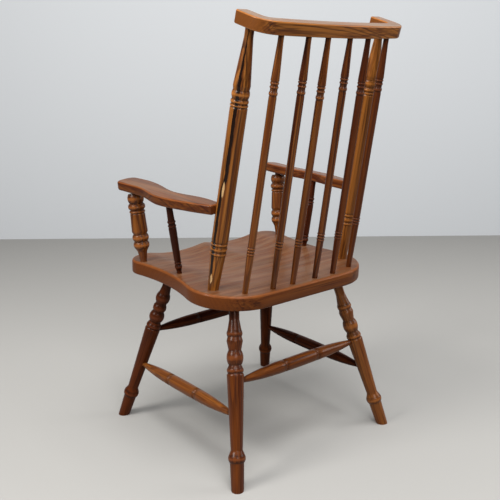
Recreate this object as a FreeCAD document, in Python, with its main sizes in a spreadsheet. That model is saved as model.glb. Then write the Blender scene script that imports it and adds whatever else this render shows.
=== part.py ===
import FreeCAD, Part
import Sketcher
import math
import os

# A high-backed wooden armchair on turned legs. The chair faces -Y, +Z is up and the origin
# is on the floor at the middle of the chair's outer box. +X is the sitter's left.
# Lengths are in millimetres and angles in degrees.

Vector = FreeCAD.Vector

SIZES = (
    # fits
    ("joint_clearance", 0.15),
    ("end_clearance", 0.3),
    # seat plank
    ("seat_height", 444.6),
    ("seat_rake", 2.85),
    ("seat_thickness", 35.0),
    ("seat_front", 239.1),
    ("seat_rear", 187.9),
    ("seat_front_corner", 44.6),
    ("seat_rear_corner", 122.0),
    ("seat_waist_half", 231.1),
    ("seat_waist_radius", 420.0),
    ("seat_waist_forward", 76.1),
    ("seat_top_edge", 6.5),
    ("seat_bottom_edge", 3.0),
    ("hollow_overrun", 15.0),
    ("thigh_hollow_across", 90.0),
    ("thigh_hollow_forward", 186.1),
    ("thigh_hollow_half_width", 88.0),
    ("thigh_hollow_half_length", 300.0),
    ("thigh_hollow_depth", 10.5),
    ("bowl_forward", 6.1),
    ("bowl_half_width", 185.0),
    ("bowl_half_length", 135.0),
    ("bowl_depth", 9.0),
    # legs, placed by their feet on the floor and by where they enter the seat
    ("front_foot_across", 257.1),
    ("front_foot_forward", 274.65),
    ("front_top_across", 163.6),
    ("front_top_forward", 152.5),
    ("rear_foot_across", 247.5),
    ("rear_foot_back", 219.9),
    ("rear_top_across", 165.5),
    ("rear_top_back", 110.8),
    ("leg_socket_depth", 22.0),
    ("leg_trim", 12.0),
    ("leg_end_diameter", 25.0),
    ("foot_diameter", 28.5),
    ("foot_top_height", 62.0),
    ("foot_top_diameter", 33.0),
    ("ankle_height", 72.0),
    ("ankle_width", 16.0),
    ("ankle_diameter", 40.5),
    ("ankle_edge_diameter", 36.0),
    ("shaft_foot_height", 90.0),
    ("shaft_foot_diameter", 28.0),
    ("shaft_top_diameter", 40.0),
    ("leg_groove", 4.0),
    ("leg_ring_width", 12.0),
    ("leg_ring_diameter", 39.0),
    ("leg_ring_edge_diameter", 34.5),
    # rear legs: a ring, a bulge, a cup and a top ring
    ("rear_right_ring_drop", 14.0),
    ("rear_ring_height", 270.0),
    ("rear_bulge_height", 299.0),
    ("rear_bulge_width", 34.0),
    ("rear_bulge_diameter", 39.0),
    ("rear_neck_diameter", 29.5),
    ("rear_cup_height", 337.0),
    ("rear_cup_diameter", 38.0),
    ("rear_top_ring_height", 354.0),
    ("rear_top_ring_width", 14.0),
    ("rear_top_ring_diameter", 37.0),
    ("rear_top_ring_edge_diameter", 33.0),
    ("rear_throat_height", 386.0),
    # front legs: a ring under three balls
    ("front_ring_height", 285.5),
    ("ball_edge_diameter", 29.0),
    ("low_ball_height", 313.5),
    ("low_ball_width", 30.0),
    ("low_ball_diameter", 39.5),
    ("mid_ball_height", 340.0),
    ("mid_ball_width", 20.0),
    ("mid_ball_diameter", 35.5),
    ("top_ball_height", 369.0),
    ("top_ball_width", 28.0),
    ("top_ball_diameter", 37.5),
    ("front_throat_height", 400.0),
    ("throat_diameter", 24.0),
    # stretchers
    ("left_stretcher_height", 157.0),
    ("right_stretcher_height", 154.5),
    ("front_stretcher_height", 253.0),
    ("back_stretcher_height", 229.0),
    ("stretcher_inset", 4.5),
    ("stretcher_end_diameter", 12.0),
    ("stretcher_end_length", 20.0),
    ("stretcher_swell", 72.0),
    ("stretcher_swell_diameter", 24.0),
    ("stretcher_shoulder", 148.0),
    ("stretcher_shoulder_diameter", 30.0),
    ("stretcher_groove_diameter", 27.0),
    ("stretcher_groove_width", 5.0),
    ("stretcher_barrel_diameter", 31.0),
    # back posts, placed by where they leave the seat and how they lean
    ("post_across", 210.7),
    ("post_back", 92.3),
    ("post_lean", 11.77),
    ("post_converge", 1.83),
    ("post_socket_depth", 26.0),
    ("post_foot_diameter", 26.0),
    ("post_foot_length", 8.0),
    ("post_left_low_rings", 102.5),
    ("post_right_low_rings", 113.5),
    ("post_left_high_bead", 446.0),
    ("post_right_high_bead", 461.0),
    ("post_low_ring_pitch", 11.5),
    ("post_low_ring_width", 7.0),
    ("post_low_bead_width", 12.0),
    ("post_low_taper_diameter", 34.5),
    ("post_shaft_diameter", 37.6),
    ("post_ring_diameter", 38.4),
    ("post_ring_edge_diameter", 34.5),
    ("post_high_bead_width", 17.0),
    ("post_high_mid_drop", 15.0),
    ("post_high_mid_width", 9.0),
    ("post_high_low_drop", 23.5),
    ("post_high_low_width", 6.0),
    ("post_shoulder_diameter", 37.0),
    ("post_top_diameter", 19.0),
    ("post_top_length", 20.0),
    # back spindles, placed by where they leave the seat and meet the crest rail
    ("spindle_lean_rise", 550.0),
    ("inner_spindle_across", 36.1),
    ("inner_spindle_back", 170.0),
    ("inner_spindle_top_across", 32.6),
    ("inner_spindle_top_back", 268.9),
    ("middle_spindle_across", 97.4),
    ("middle_spindle_back", 169.7),
    ("middle_spindle_top_across", 88.8),
    ("middle_spindle_top_back", 269.3),
    ("outer_spindle_across", 168.9),
    ("outer_spindle_back", 156.1),
    ("outer_spindle_top_across", 156.6),
    ("outer_spindle_top_back", 261.8),
    ("spindle_socket_depth", 20.0),
    ("spindle_foot_diameter", 13.0),
    ("spindle_foot_length", 8.0),
    ("spindle_shaft_diameter", 15.4),
    ("spindle_ring_diameter", 17.4),
    ("spindle_ring_edge_diameter", 14.6),
    ("spindle_ring_width", 5.0),
    ("spindle_low_pitch", 7.0),
    ("spindle_bead_width", 9.0),
    ("spindle_high_step", 13.0),
    ("spindle_high_pitch", 8.0),
    ("spindle_collar", 5.0),
    ("spindle_collar_diameter", 16.6),
    ("spindle_top_diameter", 12.0),
    ("spindle_top_length", 14.0),
    ("spindle_1_low_rings", 103.0),
    ("spindle_1_high_bead", 448.5),
    ("spindle_2_low_rings", 109.0),
    ("spindle_2_high_bead", 448.5),
    ("spindle_3_low_rings", 104.0),
    ("spindle_3_high_bead", 436.0),
    ("spindle_4_low_rings", 107.0),
    ("spindle_4_high_bead", 453.0),
    ("spindle_5_low_rings", 102.0),
    ("spindle_5_high_bead", 443.0),
    ("spindle_6_low_rings", 125.0),
    ("spindle_6_high_bead", 449.0),
    # crest rail, sawn from a plank and set tilted on the back
    ("rail_back", 266.9),
    ("rail_underside_height", 989.0),
    ("rail_tilt", 17.0),
    ("rail_thickness", 33.0),
    ("rail_height", 27.5),
    ("rail_wing_across", 198.0),
    ("rail_bow_radius", 1500.0),
    ("rail_corner_radius", 30.0),
    ("rail_wing_reach", 89.0),
    ("rail_tip_rounding", 7.0),
    ("rail_edge_rounding", 3.5),
    ("rail_socket_depth", 16.0),
    # arms: a wavy board, higher at the front and along its inner edge
    ("arm_across", 235.0),
    ("arm_height", 624.2),
    ("arm_slope", 3.07),
    ("arm_roll", 6.4),
    ("arm_thickness", 23.0),
    ("arm_tip_forward", 238.1),
    ("arm_tip_inner", 213.0),
    ("arm_tip_outer", 266.0),
    ("arm_palm_forward", 176.1),
    ("arm_palm_inner", 204.5),
    ("arm_palm_outer", 260.5),
    ("arm_waist_forward", 126.1),
    ("arm_waist_inner", 206.5),
    ("arm_waist_outer", 258.0),
    ("arm_swell_forward", 36.1),
    ("arm_swell_inner", 219.5),
    ("arm_swell_outer", 271.0),
    ("arm_wrist_back", 58.9),
    ("arm_wrist_inner", 203.5),
    ("arm_wrist_outer", 252.0),
    ("arm_end_back", 121.9),
    ("arm_end_inner", 203.0),
    ("arm_end_outer", 233.0),
    ("arm_tip_rounding", 18.0),
    ("arm_edge_rounding", 5.0),
    ("arm_socket_depth", 15.0),
    ("arm_dowel_diameter", 10.0),
    ("arm_dowel_in_post", 15.0),
    ("arm_dowel_in_arm", 24.0),
    ("arm_dowel_aim_across", 218.0),
    ("arm_dowel_aim_back", 93.9),
    # arm posts
    ("arm_post_across", 228.8),
    ("arm_post_forward", 178.7),
    ("arm_post_top_across", 238.0),
    ("arm_post_top_forward", 191.5),
    ("arm_post_socket_depth", 22.0),
    ("arm_post_foot_diameter", 17.0),
    ("arm_post_foot_length", 4.0),
    ("arm_post_cone_height", 26.0),
    ("arm_post_cone_diameter", 24.0),
    ("arm_post_bulb_height", 43.5),
    ("arm_post_bulb_width", 17.0),
    ("arm_post_bulb_diameter", 40.0),
    ("arm_post_bulb_edge_diameter", 34.0),
    ("arm_post_ring_height", 62.5),
    ("arm_post_ring_width", 18.0),
    ("arm_post_ring_diameter", 41.5),
    ("arm_post_body_foot", 78.0),
    ("arm_post_body_foot_diameter", 40.0),
    ("arm_post_body_top", 123.0),
    ("arm_post_body_top_diameter", 37.0),
    ("arm_post_fillet_height", 128.5),
    ("arm_post_fillet_width", 7.0),
    ("arm_post_fillet_diameter", 39.5),
    ("arm_post_collar_height", 141.5),
    ("arm_post_collar_width", 16.0),
    ("arm_post_collar_diameter", 43.0),
    ("arm_post_neck_diameter", 34.0),
    ("arm_post_ball_height", 162.0),
    ("arm_post_ball_width", 23.0),
    ("arm_post_ball_diameter", 41.0),
    ("arm_post_top_diameter", 17.0),
    ("arm_post_top_length", 8.0),
    # arm spindles
    ("arm_spindle_across", 208.4),
    ("arm_spindle_forward", 47.3),
    ("arm_spindle_top_across", 235.8),
    ("arm_spindle_top_forward", 43.1),
    ("arm_spindle_socket_depth", 20.0),
    ("arm_spindle_foot_diameter", 12.0),
    ("arm_spindle_foot_length", 5.0),
    ("arm_spindle_bulb_height", 17.0),
    ("arm_spindle_bulb_width", 11.0),
    ("arm_spindle_bulb_diameter", 18.0),
    ("arm_spindle_edge_diameter", 14.0),
    ("arm_spindle_ring_height", 27.0),
    ("arm_spindle_ring_width", 6.0),
    ("arm_spindle_ring_diameter", 17.5),
    ("arm_spindle_shaft_foot_diameter", 16.5),
    ("arm_spindle_shaft_diameter", 19.0),
    ("arm_spindle_high_ring_height", 121.6),
    ("arm_spindle_high_ring_pitch", 10.0),
    ("arm_spindle_high_ring_diameter", 20.0),
    ("arm_spindle_top_diameter", 15.0),
    ("arm_spindle_top_length", 14.0),
)

HOLE_OVERRUN = 15.0
HOLE_RUN = 45.0
FLOOR_BOX_WIDTH = 90.0
FLOOR_BOX_DEPTH = 40.0

doc = FreeCAD.newDocument("captains_chair")
sheet = doc.addObject("Spreadsheet::Sheet", "Sizes")
rows = 0


def add_size(name, value):
    """Put a named size in the next row of the sheet."""
    global rows
    rows += 1
    sheet.set("A%d" % rows, name)
    sheet.set("B%d" % rows, "%.6g" % value)
    sheet.setAlias("B%d" % rows, name)


for name, value in SIZES:
    add_size(name, value)
doc.recompute()


def size(name):
    """A driving dimension, read from the sheet."""
    return float(sheet.get(name))


def total(terms):
    """The number that a list of (factor, size name) pairs adds up to."""
    return sum(factor * size(name) for factor, name in terms)


def formula(terms, sign=1):
    """The same sum, or its opposite, written as an expression on the sheet."""
    return " + ".join("%g * Sizes.%s" % (sign * factor, name) for factor, name in terms)


def origin_plane(body, role):
    """One of a body's own origin planes."""
    for feature in body.Origin.OriginFeatures:
        if feature.Role == role:
            return feature
    raise ValueError("no plane " + role)


def new_sketch(body, name, role):
    """An empty sketch on an origin plane of its body."""
    sketch = body.newObject("Sketcher::SketchObject", name)
    sketch.AttachmentSupport = [(origin_plane(body, role), "")]
    sketch.MapMode = "FlatFace"
    return sketch


class Rules:
    """The constraints of a sketch and the expressions that drive them."""

    def __init__(self, sketch):
        self.sketch = sketch
        self.constraints = []
        self.driven = []

    def add(self, *parts):
        self.constraints.append(Sketcher.Constraint(*parts))

    def bind(self, expression, *parts):
        self.driven.append((len(self.constraints), expression))
        self.add(*parts)

    def place(self, geometry, position, across, up):
        """Hold a point at a place given by two sums of sizes, from the sketch's origin."""
        for kind, terms in (("DistanceX", across), ("DistanceY", up)):
            amount = total(terms)
            if amount < 0:
                self.bind(formula(terms, -1), kind, geometry, position, -1, 1, -amount)
            else:
                self.bind(formula(terms), kind, -1, 1, geometry, position, amount)

    def apply(self):
        first = self.sketch.ConstraintCount
        self.sketch.addConstraint(self.constraints)
        for index, expression in self.driven:
            self.sketch.setExpression("Constraints[%d]" % (first + index), expression)


# A turning profile is a list of steps up the piece's axis. A step is a corner of the
# outline or the crest of a round between two corners, with its diameter and its height
# as a sum of sizes. Height 0 is where the piece leaves the floor or the seat.

def corner(diameter, *height):
    return "corner", diameter, list(height)


def crest(diameter, *height):
    return "crest", diameter, list(height)


def bead(diameter, edge, width, *height):
    """A round ring of a width about a height, with the same diameter at both edges."""
    return [
        corner(edge, *height, (-0.5, width)),
        crest(diameter, *height),
        corner(edge, *height, (0.5, width)),
    ]


def turned(label, profile, start, direction):
    """A turned piece: half its outline revolved about its own axis."""
    body = doc.addObject("PartDesign::Body", label)
    sketch = new_sketch(body, label + "_outline", "XZ_Plane")
    rules = Rules(sketch)

    def point(step):
        return Vector(size(step[1]) / 2, total(step[2]), 0)

    foot = Vector(0, point(profile[0]).y, 0)
    head = Vector(0, point(profile[-1]).y, 0)
    tail = sketch.addGeometry(Part.LineSegment(foot, point(profile[0])))
    tail_end = 2
    rules.add("PointOnObject", tail, 1, -2)
    rules.add("Horizontal", tail)
    rules.place(tail, 2, [(0.5, profile[0][1])], profile[0][2])
    base = tail
    last = profile[0]
    top = None
    for step in profile[1:]:
        if step[0] == "crest":
            top = step
            continue
        if top is None:
            edge = sketch.addGeometry(Part.LineSegment(point(last), point(step)))
            near, far = 1, 2
        else:
            edge = sketch.addGeometry(Part.Arc(point(last), point(top), point(step)))
            near, far = 1, 2
            if (sketch.getPoint(edge, 2) - point(last)).Length < 0.001:
                near, far = 2, 1
            mark = sketch.addGeometry(Part.Point(point(top)), True)
            rules.place(mark, 1, [(0.5, top[1])], top[2])
            rules.add("PointOnObject", mark, 1, edge)
            top = None
        rules.add("Coincident", tail, tail_end, edge, near)
        rules.place(edge, far, [(0.5, step[1])], step[2])
        tail, tail_end, last = edge, far, step
    lid = sketch.addGeometry(Part.LineSegment(point(last), head))
    rules.add("Coincident", tail, tail_end, lid, 1)
    rules.add("Horizontal", lid)
    rules.add("PointOnObject", lid, 2, -2)
    axis = sketch.addGeometry(Part.LineSegment(head, foot))
    rules.add("Coincident", lid, 2, axis, 1)
    rules.add("Coincident", axis, 2, base, 1)
    rules.apply()
    revolution = body.newObject("PartDesign::Revolution", label + "_turning")
    revolution.Profile = sketch
    revolution.ReferenceAxis = (sketch, ["V_Axis"])
    revolution.Angle = 360.0
    body.Placement = FreeCAD.Placement(start, FreeCAD.Rotation(Vector(0, 0, 1), direction))
    return body


def hole(label, start, direction, diameter, length):
    """A round hole that leaves the joint's clearance about a piece, as a cutter."""
    cutter = doc.addObject("Part::Cylinder", label)
    cutter.setExpression("Radius", "Sizes.%s / 2 + Sizes.joint_clearance" % diameter)
    cutter.setExpression("Height", length)
    cutter.Placement = FreeCAD.Placement(start, FreeCAD.Rotation(Vector(0, 0, 1), direction))
    return cutter


def socket(label, mouth, direction, diameter, depth):
    """A hole for a tenon, deeper than the tenon by the end clearance."""
    length = "Sizes.%s + Sizes.end_clearance + %g" % (depth, HOLE_OVERRUN)
    return hole(label, mouth - direction * HOLE_OVERRUN, direction, diameter, length)


def finished(label, blank, cutters):
    """The piece that is left of a blank once its holes are cut."""
    tool = cutters[0]
    if len(cutters) > 1:
        tool = doc.addObject("Part::MultiFuse", label + "_cutters")
        tool.Shapes = cutters
    piece = doc.addObject("Part::Cut", label + "_cut")
    piece.Base = blank
    piece.Tool = tool
    piece.Label = label
    return piece


# Where things meet. The seat's faces, the rail's underside and the arms' undersides are
# planes, and each turned piece runs along a straight line between two of them.

def on_plane(point, direction, plane_point, normal):
    """Where a line crosses a plane."""
    along = (plane_point - point).dot(normal) / direction.dot(normal)
    return point + direction * along


def height_on(plane_point, normal, x, y):
    """The point of a plane above a place on the floor."""
    return on_plane(Vector(x, y, 0), Vector(0, 0, 1), plane_point, normal)


def turn_about_x(degrees):
    return FreeCAD.Rotation(Vector(1, 0, 0), degrees)


def arm_turn(side):
    """How an arm is turned: down towards the back, and down towards its outer edge."""
    roll = FreeCAD.Rotation(Vector(0, 1, 0), side * size("arm_roll"))
    return turn_about_x(-size("arm_slope")).multiply(roll)


def arm_base(side):
    return Vector(side * size("arm_across"), 0, size("arm_height"))


def arm_up(side):
    return arm_turn(side).multVec(Vector(0, 0, 1))


SIDES = (("left", 1), ("right", -1))
SEAT_UP = turn_about_x(-size("seat_rake")).multVec(Vector(0, 0, 1))
SEAT_TOP = Vector(0, 0, size("seat_height"))
SEAT_UNDERSIDE = SEAT_TOP - SEAT_UP * size("seat_thickness")
RAIL_UP = turn_about_x(-size("rail_tilt")).multVec(Vector(0, 0, 1))
RAIL_UNDERSIDE = Vector(0, size("rail_back"), size("rail_underside_height"))


# Seat

def arc(centre, radius, start, end):
    """An arc from one angle to another, in degrees, counter-clockwise."""
    circle = Part.Circle(centre, Vector(0, 0, 1), radius)
    return Part.ArcOfCircle(circle, math.radians(start), math.radians(end))


def seat_outline(body):
    """The bell-shaped plan: round corners, and sides drawn in to a waist."""
    sketch = new_sketch(body, "seat_plan", "XY_Plane")
    front = size("seat_front")
    rear = size("seat_rear")
    front_radius = size("seat_front_corner")
    rear_radius = size("seat_rear_corner")
    waist_radius = size("seat_waist_radius")
    waist = Vector(size("seat_waist_half") + waist_radius, -size("seat_waist_forward"), 0)
    front_y = front_radius - front
    rear_y = rear - rear_radius
    front_x = waist.x - math.sqrt((waist_radius + front_radius) ** 2 - (waist.y - front_y) ** 2)
    rear_x = waist.x - math.sqrt((waist_radius + rear_radius) ** 2 - (waist.y - rear_y) ** 2)
    low = math.degrees(math.atan2(front_y - waist.y, front_x - waist.x)) % 360
    high = math.degrees(math.atan2(rear_y - waist.y, rear_x - waist.x)) % 360

    def corner(x, y, radius, start, end):
        return sketch.addGeometry(arc(Vector(x, y, 0), radius, start, end))

    front_edge = sketch.addGeometry(Part.LineSegment(Vector(-front_x, -front, 0),
                                                     Vector(front_x, -front, 0)))
    front_left = corner(front_x, front_y, front_radius, 270, low - 180 + 360)
    waist_left = corner(waist.x, waist.y, waist_radius, high, low)
    rear_left = corner(rear_x, rear_y, rear_radius, high - 180, 90)
    rear_edge = sketch.addGeometry(Part.LineSegment(Vector(rear_x, rear, 0),
                                                    Vector(-rear_x, rear, 0)))
    rear_right = corner(-rear_x, rear_y, rear_radius, 90, 360 - high)
    waist_right = corner(-waist.x, waist.y, waist_radius, 180 - low + 360, 180 - high + 360)
    front_right = corner(-front_x, front_y, front_radius, 360 - low, 270)
    rules = Rules(sketch)
    for first, first_end, second, second_end in (
            (front_edge, 2, front_left, 1), (front_left, 2, waist_left, 2),
            (waist_left, 1, rear_left, 1), (rear_left, 2, rear_edge, 1),
            (rear_edge, 2, rear_right, 1), (rear_right, 2, waist_right, 2),
            (waist_right, 1, front_right, 1), (front_right, 2, front_edge, 1)):
        rules.add("Tangent", first, first_end, second, second_end)
    for geometry, radius in ((front_left, "seat_front_corner"), (front_right, "seat_front_corner"),
                             (waist_left, "seat_waist_radius"), (waist_right, "seat_waist_radius"),
                             (rear_left, "seat_rear_corner"), (rear_right, "seat_rear_corner")):
        rules.bind("Sizes." + radius, "Radius", geometry, size(radius))
    rules.add("Horizontal", front_edge)
    rules.add("Horizontal", rear_edge)
    rules.bind("Sizes.seat_front", "DistanceY", front_edge, 1, -1, 1, front)
    rules.bind("Sizes.seat_rear", "DistanceY", -1, 1, rear_edge, 1, rear)
    across = [(1, "seat_waist_half"), (1, "seat_waist_radius")]
    rules.bind(formula(across), "DistanceX", -1, 1, waist_left, 3, total(across))
    rules.bind(formula(across), "DistanceX", waist_right, 3, -1, 1, total(across))
    for geometry in (waist_left, waist_right):
        rules.bind("Sizes.seat_waist_forward", "DistanceY", geometry, 3, -1, 1,
                   size("seat_waist_forward"))
    rules.apply()
    return sketch


def hollow(body, name, side, across, forward, half_width, half_length, depth):
    """A shallow oval hollow: the underside of a barrel that lies fore and aft in the seat."""
    sketch = new_sketch(body, name + "_barrel", "YZ_Plane")
    curve = "((Sizes.%s ^ 2 + Sizes.%s ^ 2) / (2 * Sizes.%s))"
    turn_text = curve % (half_width, depth, depth)
    bend_text = curve % (half_length, depth, depth)
    turn = (size(half_width) ** 2 + size(depth) ** 2) / (2 * size(depth))
    bend = (size(half_length) ** 2 + size(depth) ** 2) / (2 * size(depth))
    reach = size(half_length) + size("hollow_overrun")
    sketch.setExpression("AttachmentOffset.Base.x", "-Sizes." + forward)
    sketch.setExpression("AttachmentOffset.Base.y", "%s - Sizes.%s" % (turn_text, depth))
    sketch.setExpression("AttachmentOffset.Base.z", "%d * Sizes.%s" % (side, across))
    swing = math.degrees(math.asin(reach / bend))
    drop = bend - turn - math.sqrt(bend ** 2 - reach ** 2)
    belly = sketch.addGeometry(arc(Vector(0, bend - turn, 0), bend, 270 - swing, 270 + swing))
    back_end = sketch.addGeometry(Part.LineSegment(Vector(reach, drop, 0), Vector(reach, 0, 0)))
    axis = sketch.addGeometry(Part.LineSegment(Vector(reach, 0, 0), Vector(-reach, 0, 0)))
    front_end = sketch.addGeometry(Part.LineSegment(Vector(-reach, 0, 0),
                                                    Vector(-reach, drop, 0)))
    rules = Rules(sketch)
    rules.bind(bend_text, "Radius", belly, bend)
    rules.add("PointOnObject", belly, 3, -2)
    if bend > turn:
        rules.bind("%s - %s" % (bend_text, turn_text), "DistanceY", -1, 1, belly, 3, bend - turn)
    else:
        rules.bind("%s - %s" % (turn_text, bend_text), "DistanceY", belly, 3, -1, 1, turn - bend)
    rules.add("Coincident", belly, 2, back_end, 1)
    rules.add("Coincident", back_end, 2, axis, 1)
    rules.add("Coincident", axis, 2, front_end, 1)
    rules.add("Coincident", front_end, 2, belly, 1)
    rules.add("Vertical", back_end)
    rules.add("Vertical", front_end)
    rules.add("PointOnObject", axis, 1, -1)
    rules.add("PointOnObject", axis, 2, -1)
    rules.bind("Sizes.%s + Sizes.hollow_overrun" % half_length, "DistanceX", -1, 1, axis, 1, reach)
    rules.apply()
    groove = body.newObject("PartDesign::Groove", name)
    groove.Profile = sketch
    groove.ReferenceAxis = (sketch, ["H_Axis"])
    groove.Angle = 360.0
    return groove


def edges_where(shape, test):
    """The names of a shape's edges whose middle point passes a test."""
    names = []
    for index, edge in enumerate(shape.Edges, start=1):
        middle = edge.valueAt((edge.FirstParameter + edge.LastParameter) / 2)
        if test(middle, edge):
            names.append("Edge%d" % index)
    return names


def upright(edge):
    """Whether a straight edge runs along the local height."""
    ends = [vertex.Point for vertex in edge.Vertexes]
    return len(ends) == 2 and (ends[0] - ends[1]).cross(Vector(0, 0, 1)).Length < 0.01


def rounding(body, name, base, radius, test):
    """Round the edges of a body's last feature that pass a test."""
    doc.recompute()
    fillet = body.newObject("PartDesign::Fillet", name)
    fillet.Base = (base, edges_where(base.Shape, test))
    fillet.setExpression("Radius", "Sizes." + radius)
    return fillet


def make_seat():
    body = doc.addObject("PartDesign::Body", "seat_plank")
    pad = body.newObject("PartDesign::Pad", "seat_board")
    pad.Profile = seat_outline(body)
    pad.setExpression("Length", "Sizes.seat_thickness")
    pad.Reversed = True
    thickness = size("seat_thickness")
    top = rounding(body, "seat_top_rounding", pad, "seat_top_edge",
                   lambda middle, edge: abs(middle.z) < 0.01)
    rounding(body, "seat_bottom_rounding", top, "seat_bottom_edge",
             lambda middle, edge: abs(middle.z + thickness) < 0.01)
    for name, side in SIDES:
        hollow(body, "thigh_hollow_" + name, side, "thigh_hollow_across",
               "thigh_hollow_forward", "thigh_hollow_half_width", "thigh_hollow_half_length",
               "thigh_hollow_depth")
    hollow(body, "seat_bowl", 0, "thigh_hollow_across", "bowl_forward", "bowl_half_width",
           "bowl_half_length", "bowl_depth")
    body.Placement = FreeCAD.Placement(SEAT_TOP, FreeCAD.Rotation(Vector(1, 0, 0),
                                                                  -size("seat_rake")))
    return body


# Legs

FOOT = [
    corner("foot_diameter", (-1, "leg_trim")),
    corner("foot_top_diameter", (1, "foot_top_height")),
    *bead("ankle_diameter", "ankle_edge_diameter", "ankle_width", (1, "ankle_height")),
    corner("shaft_foot_diameter", (1, "shaft_foot_height")),
]


def rear_leg(*shift):
    """A rear leg's profile above its foot, with its rings moved by a sum of sizes."""
    ring = ((1, "rear_ring_height"), *shift)
    return FOOT + [
        corner("shaft_top_diameter", *ring, (-0.5, "leg_ring_width"), (-1, "leg_groove")),
        *bead("leg_ring_diameter", "leg_ring_edge_diameter", "leg_ring_width", *ring),
        *bead("rear_bulge_diameter", "rear_neck_diameter", "rear_bulge_width",
              (1, "rear_bulge_height"), *shift),
        corner("rear_cup_diameter", (1, "rear_cup_height"), *shift),
        *bead("rear_top_ring_diameter", "rear_top_ring_edge_diameter",
              "rear_top_ring_width", (1, "rear_top_ring_height"), *shift),
        corner("throat_diameter", (1, "rear_throat_height"), *shift),
    ]


FRONT_LEG = FOOT + [
    corner("shaft_top_diameter", (1, "front_ring_height"), (-0.5, "leg_ring_width"),
           (-1, "leg_groove")),
    *bead("leg_ring_diameter", "leg_ring_edge_diameter", "leg_ring_width",
          (1, "front_ring_height")),
    *bead("low_ball_diameter", "ball_edge_diameter", "low_ball_width",
          (1, "low_ball_height")),
    *bead("mid_ball_diameter", "ball_edge_diameter", "mid_ball_width",
          (1, "mid_ball_height")),
    *bead("top_ball_diameter", "ball_edge_diameter", "top_ball_width",
          (1, "top_ball_height")),
    corner("throat_diameter", (1, "front_throat_height")),
]


def leg_line(row, side):
    """A leg's foot on the floor and the middle of its socket's mouth in the seat."""
    if row == "front":
        foot = Vector(side * size("front_foot_across"), -size("front_foot_forward"), 0)
        x, y = side * size("front_top_across"), -size("front_top_forward")
    else:
        foot = Vector(side * size("rear_foot_across"), size("rear_foot_back"), 0)
        x, y = side * size("rear_top_across"), size("rear_top_back")
    return foot, height_on(SEAT_UNDERSIDE, SEAT_UP, x, y)


def leg_at(row, side, height):
    """The point of a leg's axis at a height above the floor."""
    foot, top = leg_line(row, side)
    return foot + (top - foot) * (height / top.z)


# A stretcher runs between two leg axes at one height.

STRETCHERS = (
    ("stretcher_left", ("front", 1), ("rear", 1), "left_stretcher_height"),
    ("stretcher_right", ("front", -1), ("rear", -1), "right_stretcher_height"),
    ("stretcher_front", ("front", 1), ("front", -1), "front_stretcher_height"),
    ("stretcher_back", ("rear", 1), ("rear", -1), "back_stretcher_height"),
)


def floor_box(label, foot):
    """The room under the floor, which levels a foot."""
    box = doc.addObject("Part::Box", label)
    box.Length = FLOOR_BOX_WIDTH
    box.Width = FLOOR_BOX_WIDTH
    box.Height = FLOOR_BOX_DEPTH
    reach = Vector(FLOOR_BOX_WIDTH / 2, FLOOR_BOX_WIDTH / 2, FLOOR_BOX_DEPTH)
    box.Placement = FreeCAD.Placement(foot - reach, FreeCAD.Rotation())
    return box


def make_legs():
    """The four legs, and the cutters for their sockets in the seat."""
    pieces = []
    seat_cutters = []
    profiles = {
        ("front", "left"): FRONT_LEG,
        ("front", "right"): FRONT_LEG,
        ("rear", "left"): rear_leg(),
        ("rear", "right"): rear_leg((-1, "rear_right_ring_drop")),
    }
    for row in ("front", "rear"):
        foot, top = leg_line(row, 1)
        length = row + "_leg_length"
        add_size(length, (top - foot).Length)
        doc.recompute()
        for name, side in SIDES:
            label = "leg_%s_%s" % (row, name)
            outline = profiles[row, name] + [
                corner("leg_end_diameter", (1, length)),
                corner("leg_end_diameter", (1, length), (1, "leg_socket_depth")),
            ]
            foot, top = leg_line(row, side)
            direction = (top - foot).normalize()
            blank = turned(label + "_blank", outline, foot, direction)
            cutters = [floor_box(label + "_floor", foot)]
            for stretcher, first, second, height in STRETCHERS:
                if (row, side) not in (first, second):
                    continue
                other = second if (row, side) == first else first
                own_point = leg_at(row, side, size(height))
                along = (leg_at(*other, size(height)) - own_point).normalize()
                start = own_point + along * (size("stretcher_inset") - size("end_clearance"))
                cutters.append(hole("%s_%s_socket" % (label, stretcher), start, along,
                                    "stretcher_end_diameter", "%g" % HOLE_RUN))
            pieces.append(finished(label, blank, cutters))
            seat_cutters.append(socket(label + "_socket", top, direction,
                                       "leg_end_diameter", "leg_socket_depth"))
    return pieces, seat_cutters


def make_stretchers():
    """Four bars, each the same from both ends: a swelling, a groove and a barrel."""
    pieces = []
    for label, first, second, height in STRETCHERS:
        start = leg_at(*first, size(height))
        finish = leg_at(*second, size(height))
        span = label + "_span"
        add_size(span, (finish - start).Length)
        doc.recompute()
        ends = [(1, "stretcher_end_length")]
        shoulder = [(1, "stretcher_shoulder"), (-0.5, "stretcher_groove_width")]
        barrel = [(1, "stretcher_shoulder"), (0.5, "stretcher_groove_width")]
        half = [
            (corner, "stretcher_end_diameter", [(1, "stretcher_inset")]),
            (corner, "stretcher_end_diameter", ends),
            (crest, "stretcher_swell_diameter", [(1, "stretcher_swell")]),
            (corner, "stretcher_shoulder_diameter", shoulder),
            (corner, "stretcher_groove_diameter", [(1, "stretcher_shoulder")]),
            (corner, "stretcher_shoulder_diameter", barrel),
        ]
        outline = [kind(diameter, *terms) for kind, diameter, terms in half]
        outline.append(crest("stretcher_barrel_diameter", (0.5, span)))
        for kind, diameter, terms in reversed(half):
            mirrored = [(-factor, name) for factor, name in terms]
            outline.append(kind(diameter, (1, span), *mirrored))
        pieces.append(turned(label, outline, start, (finish - start).normalize()))
    return pieces


# Back posts and spindles. Heights run from the seat's top face, and the turned tops run on
# into the crest rail.

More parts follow.
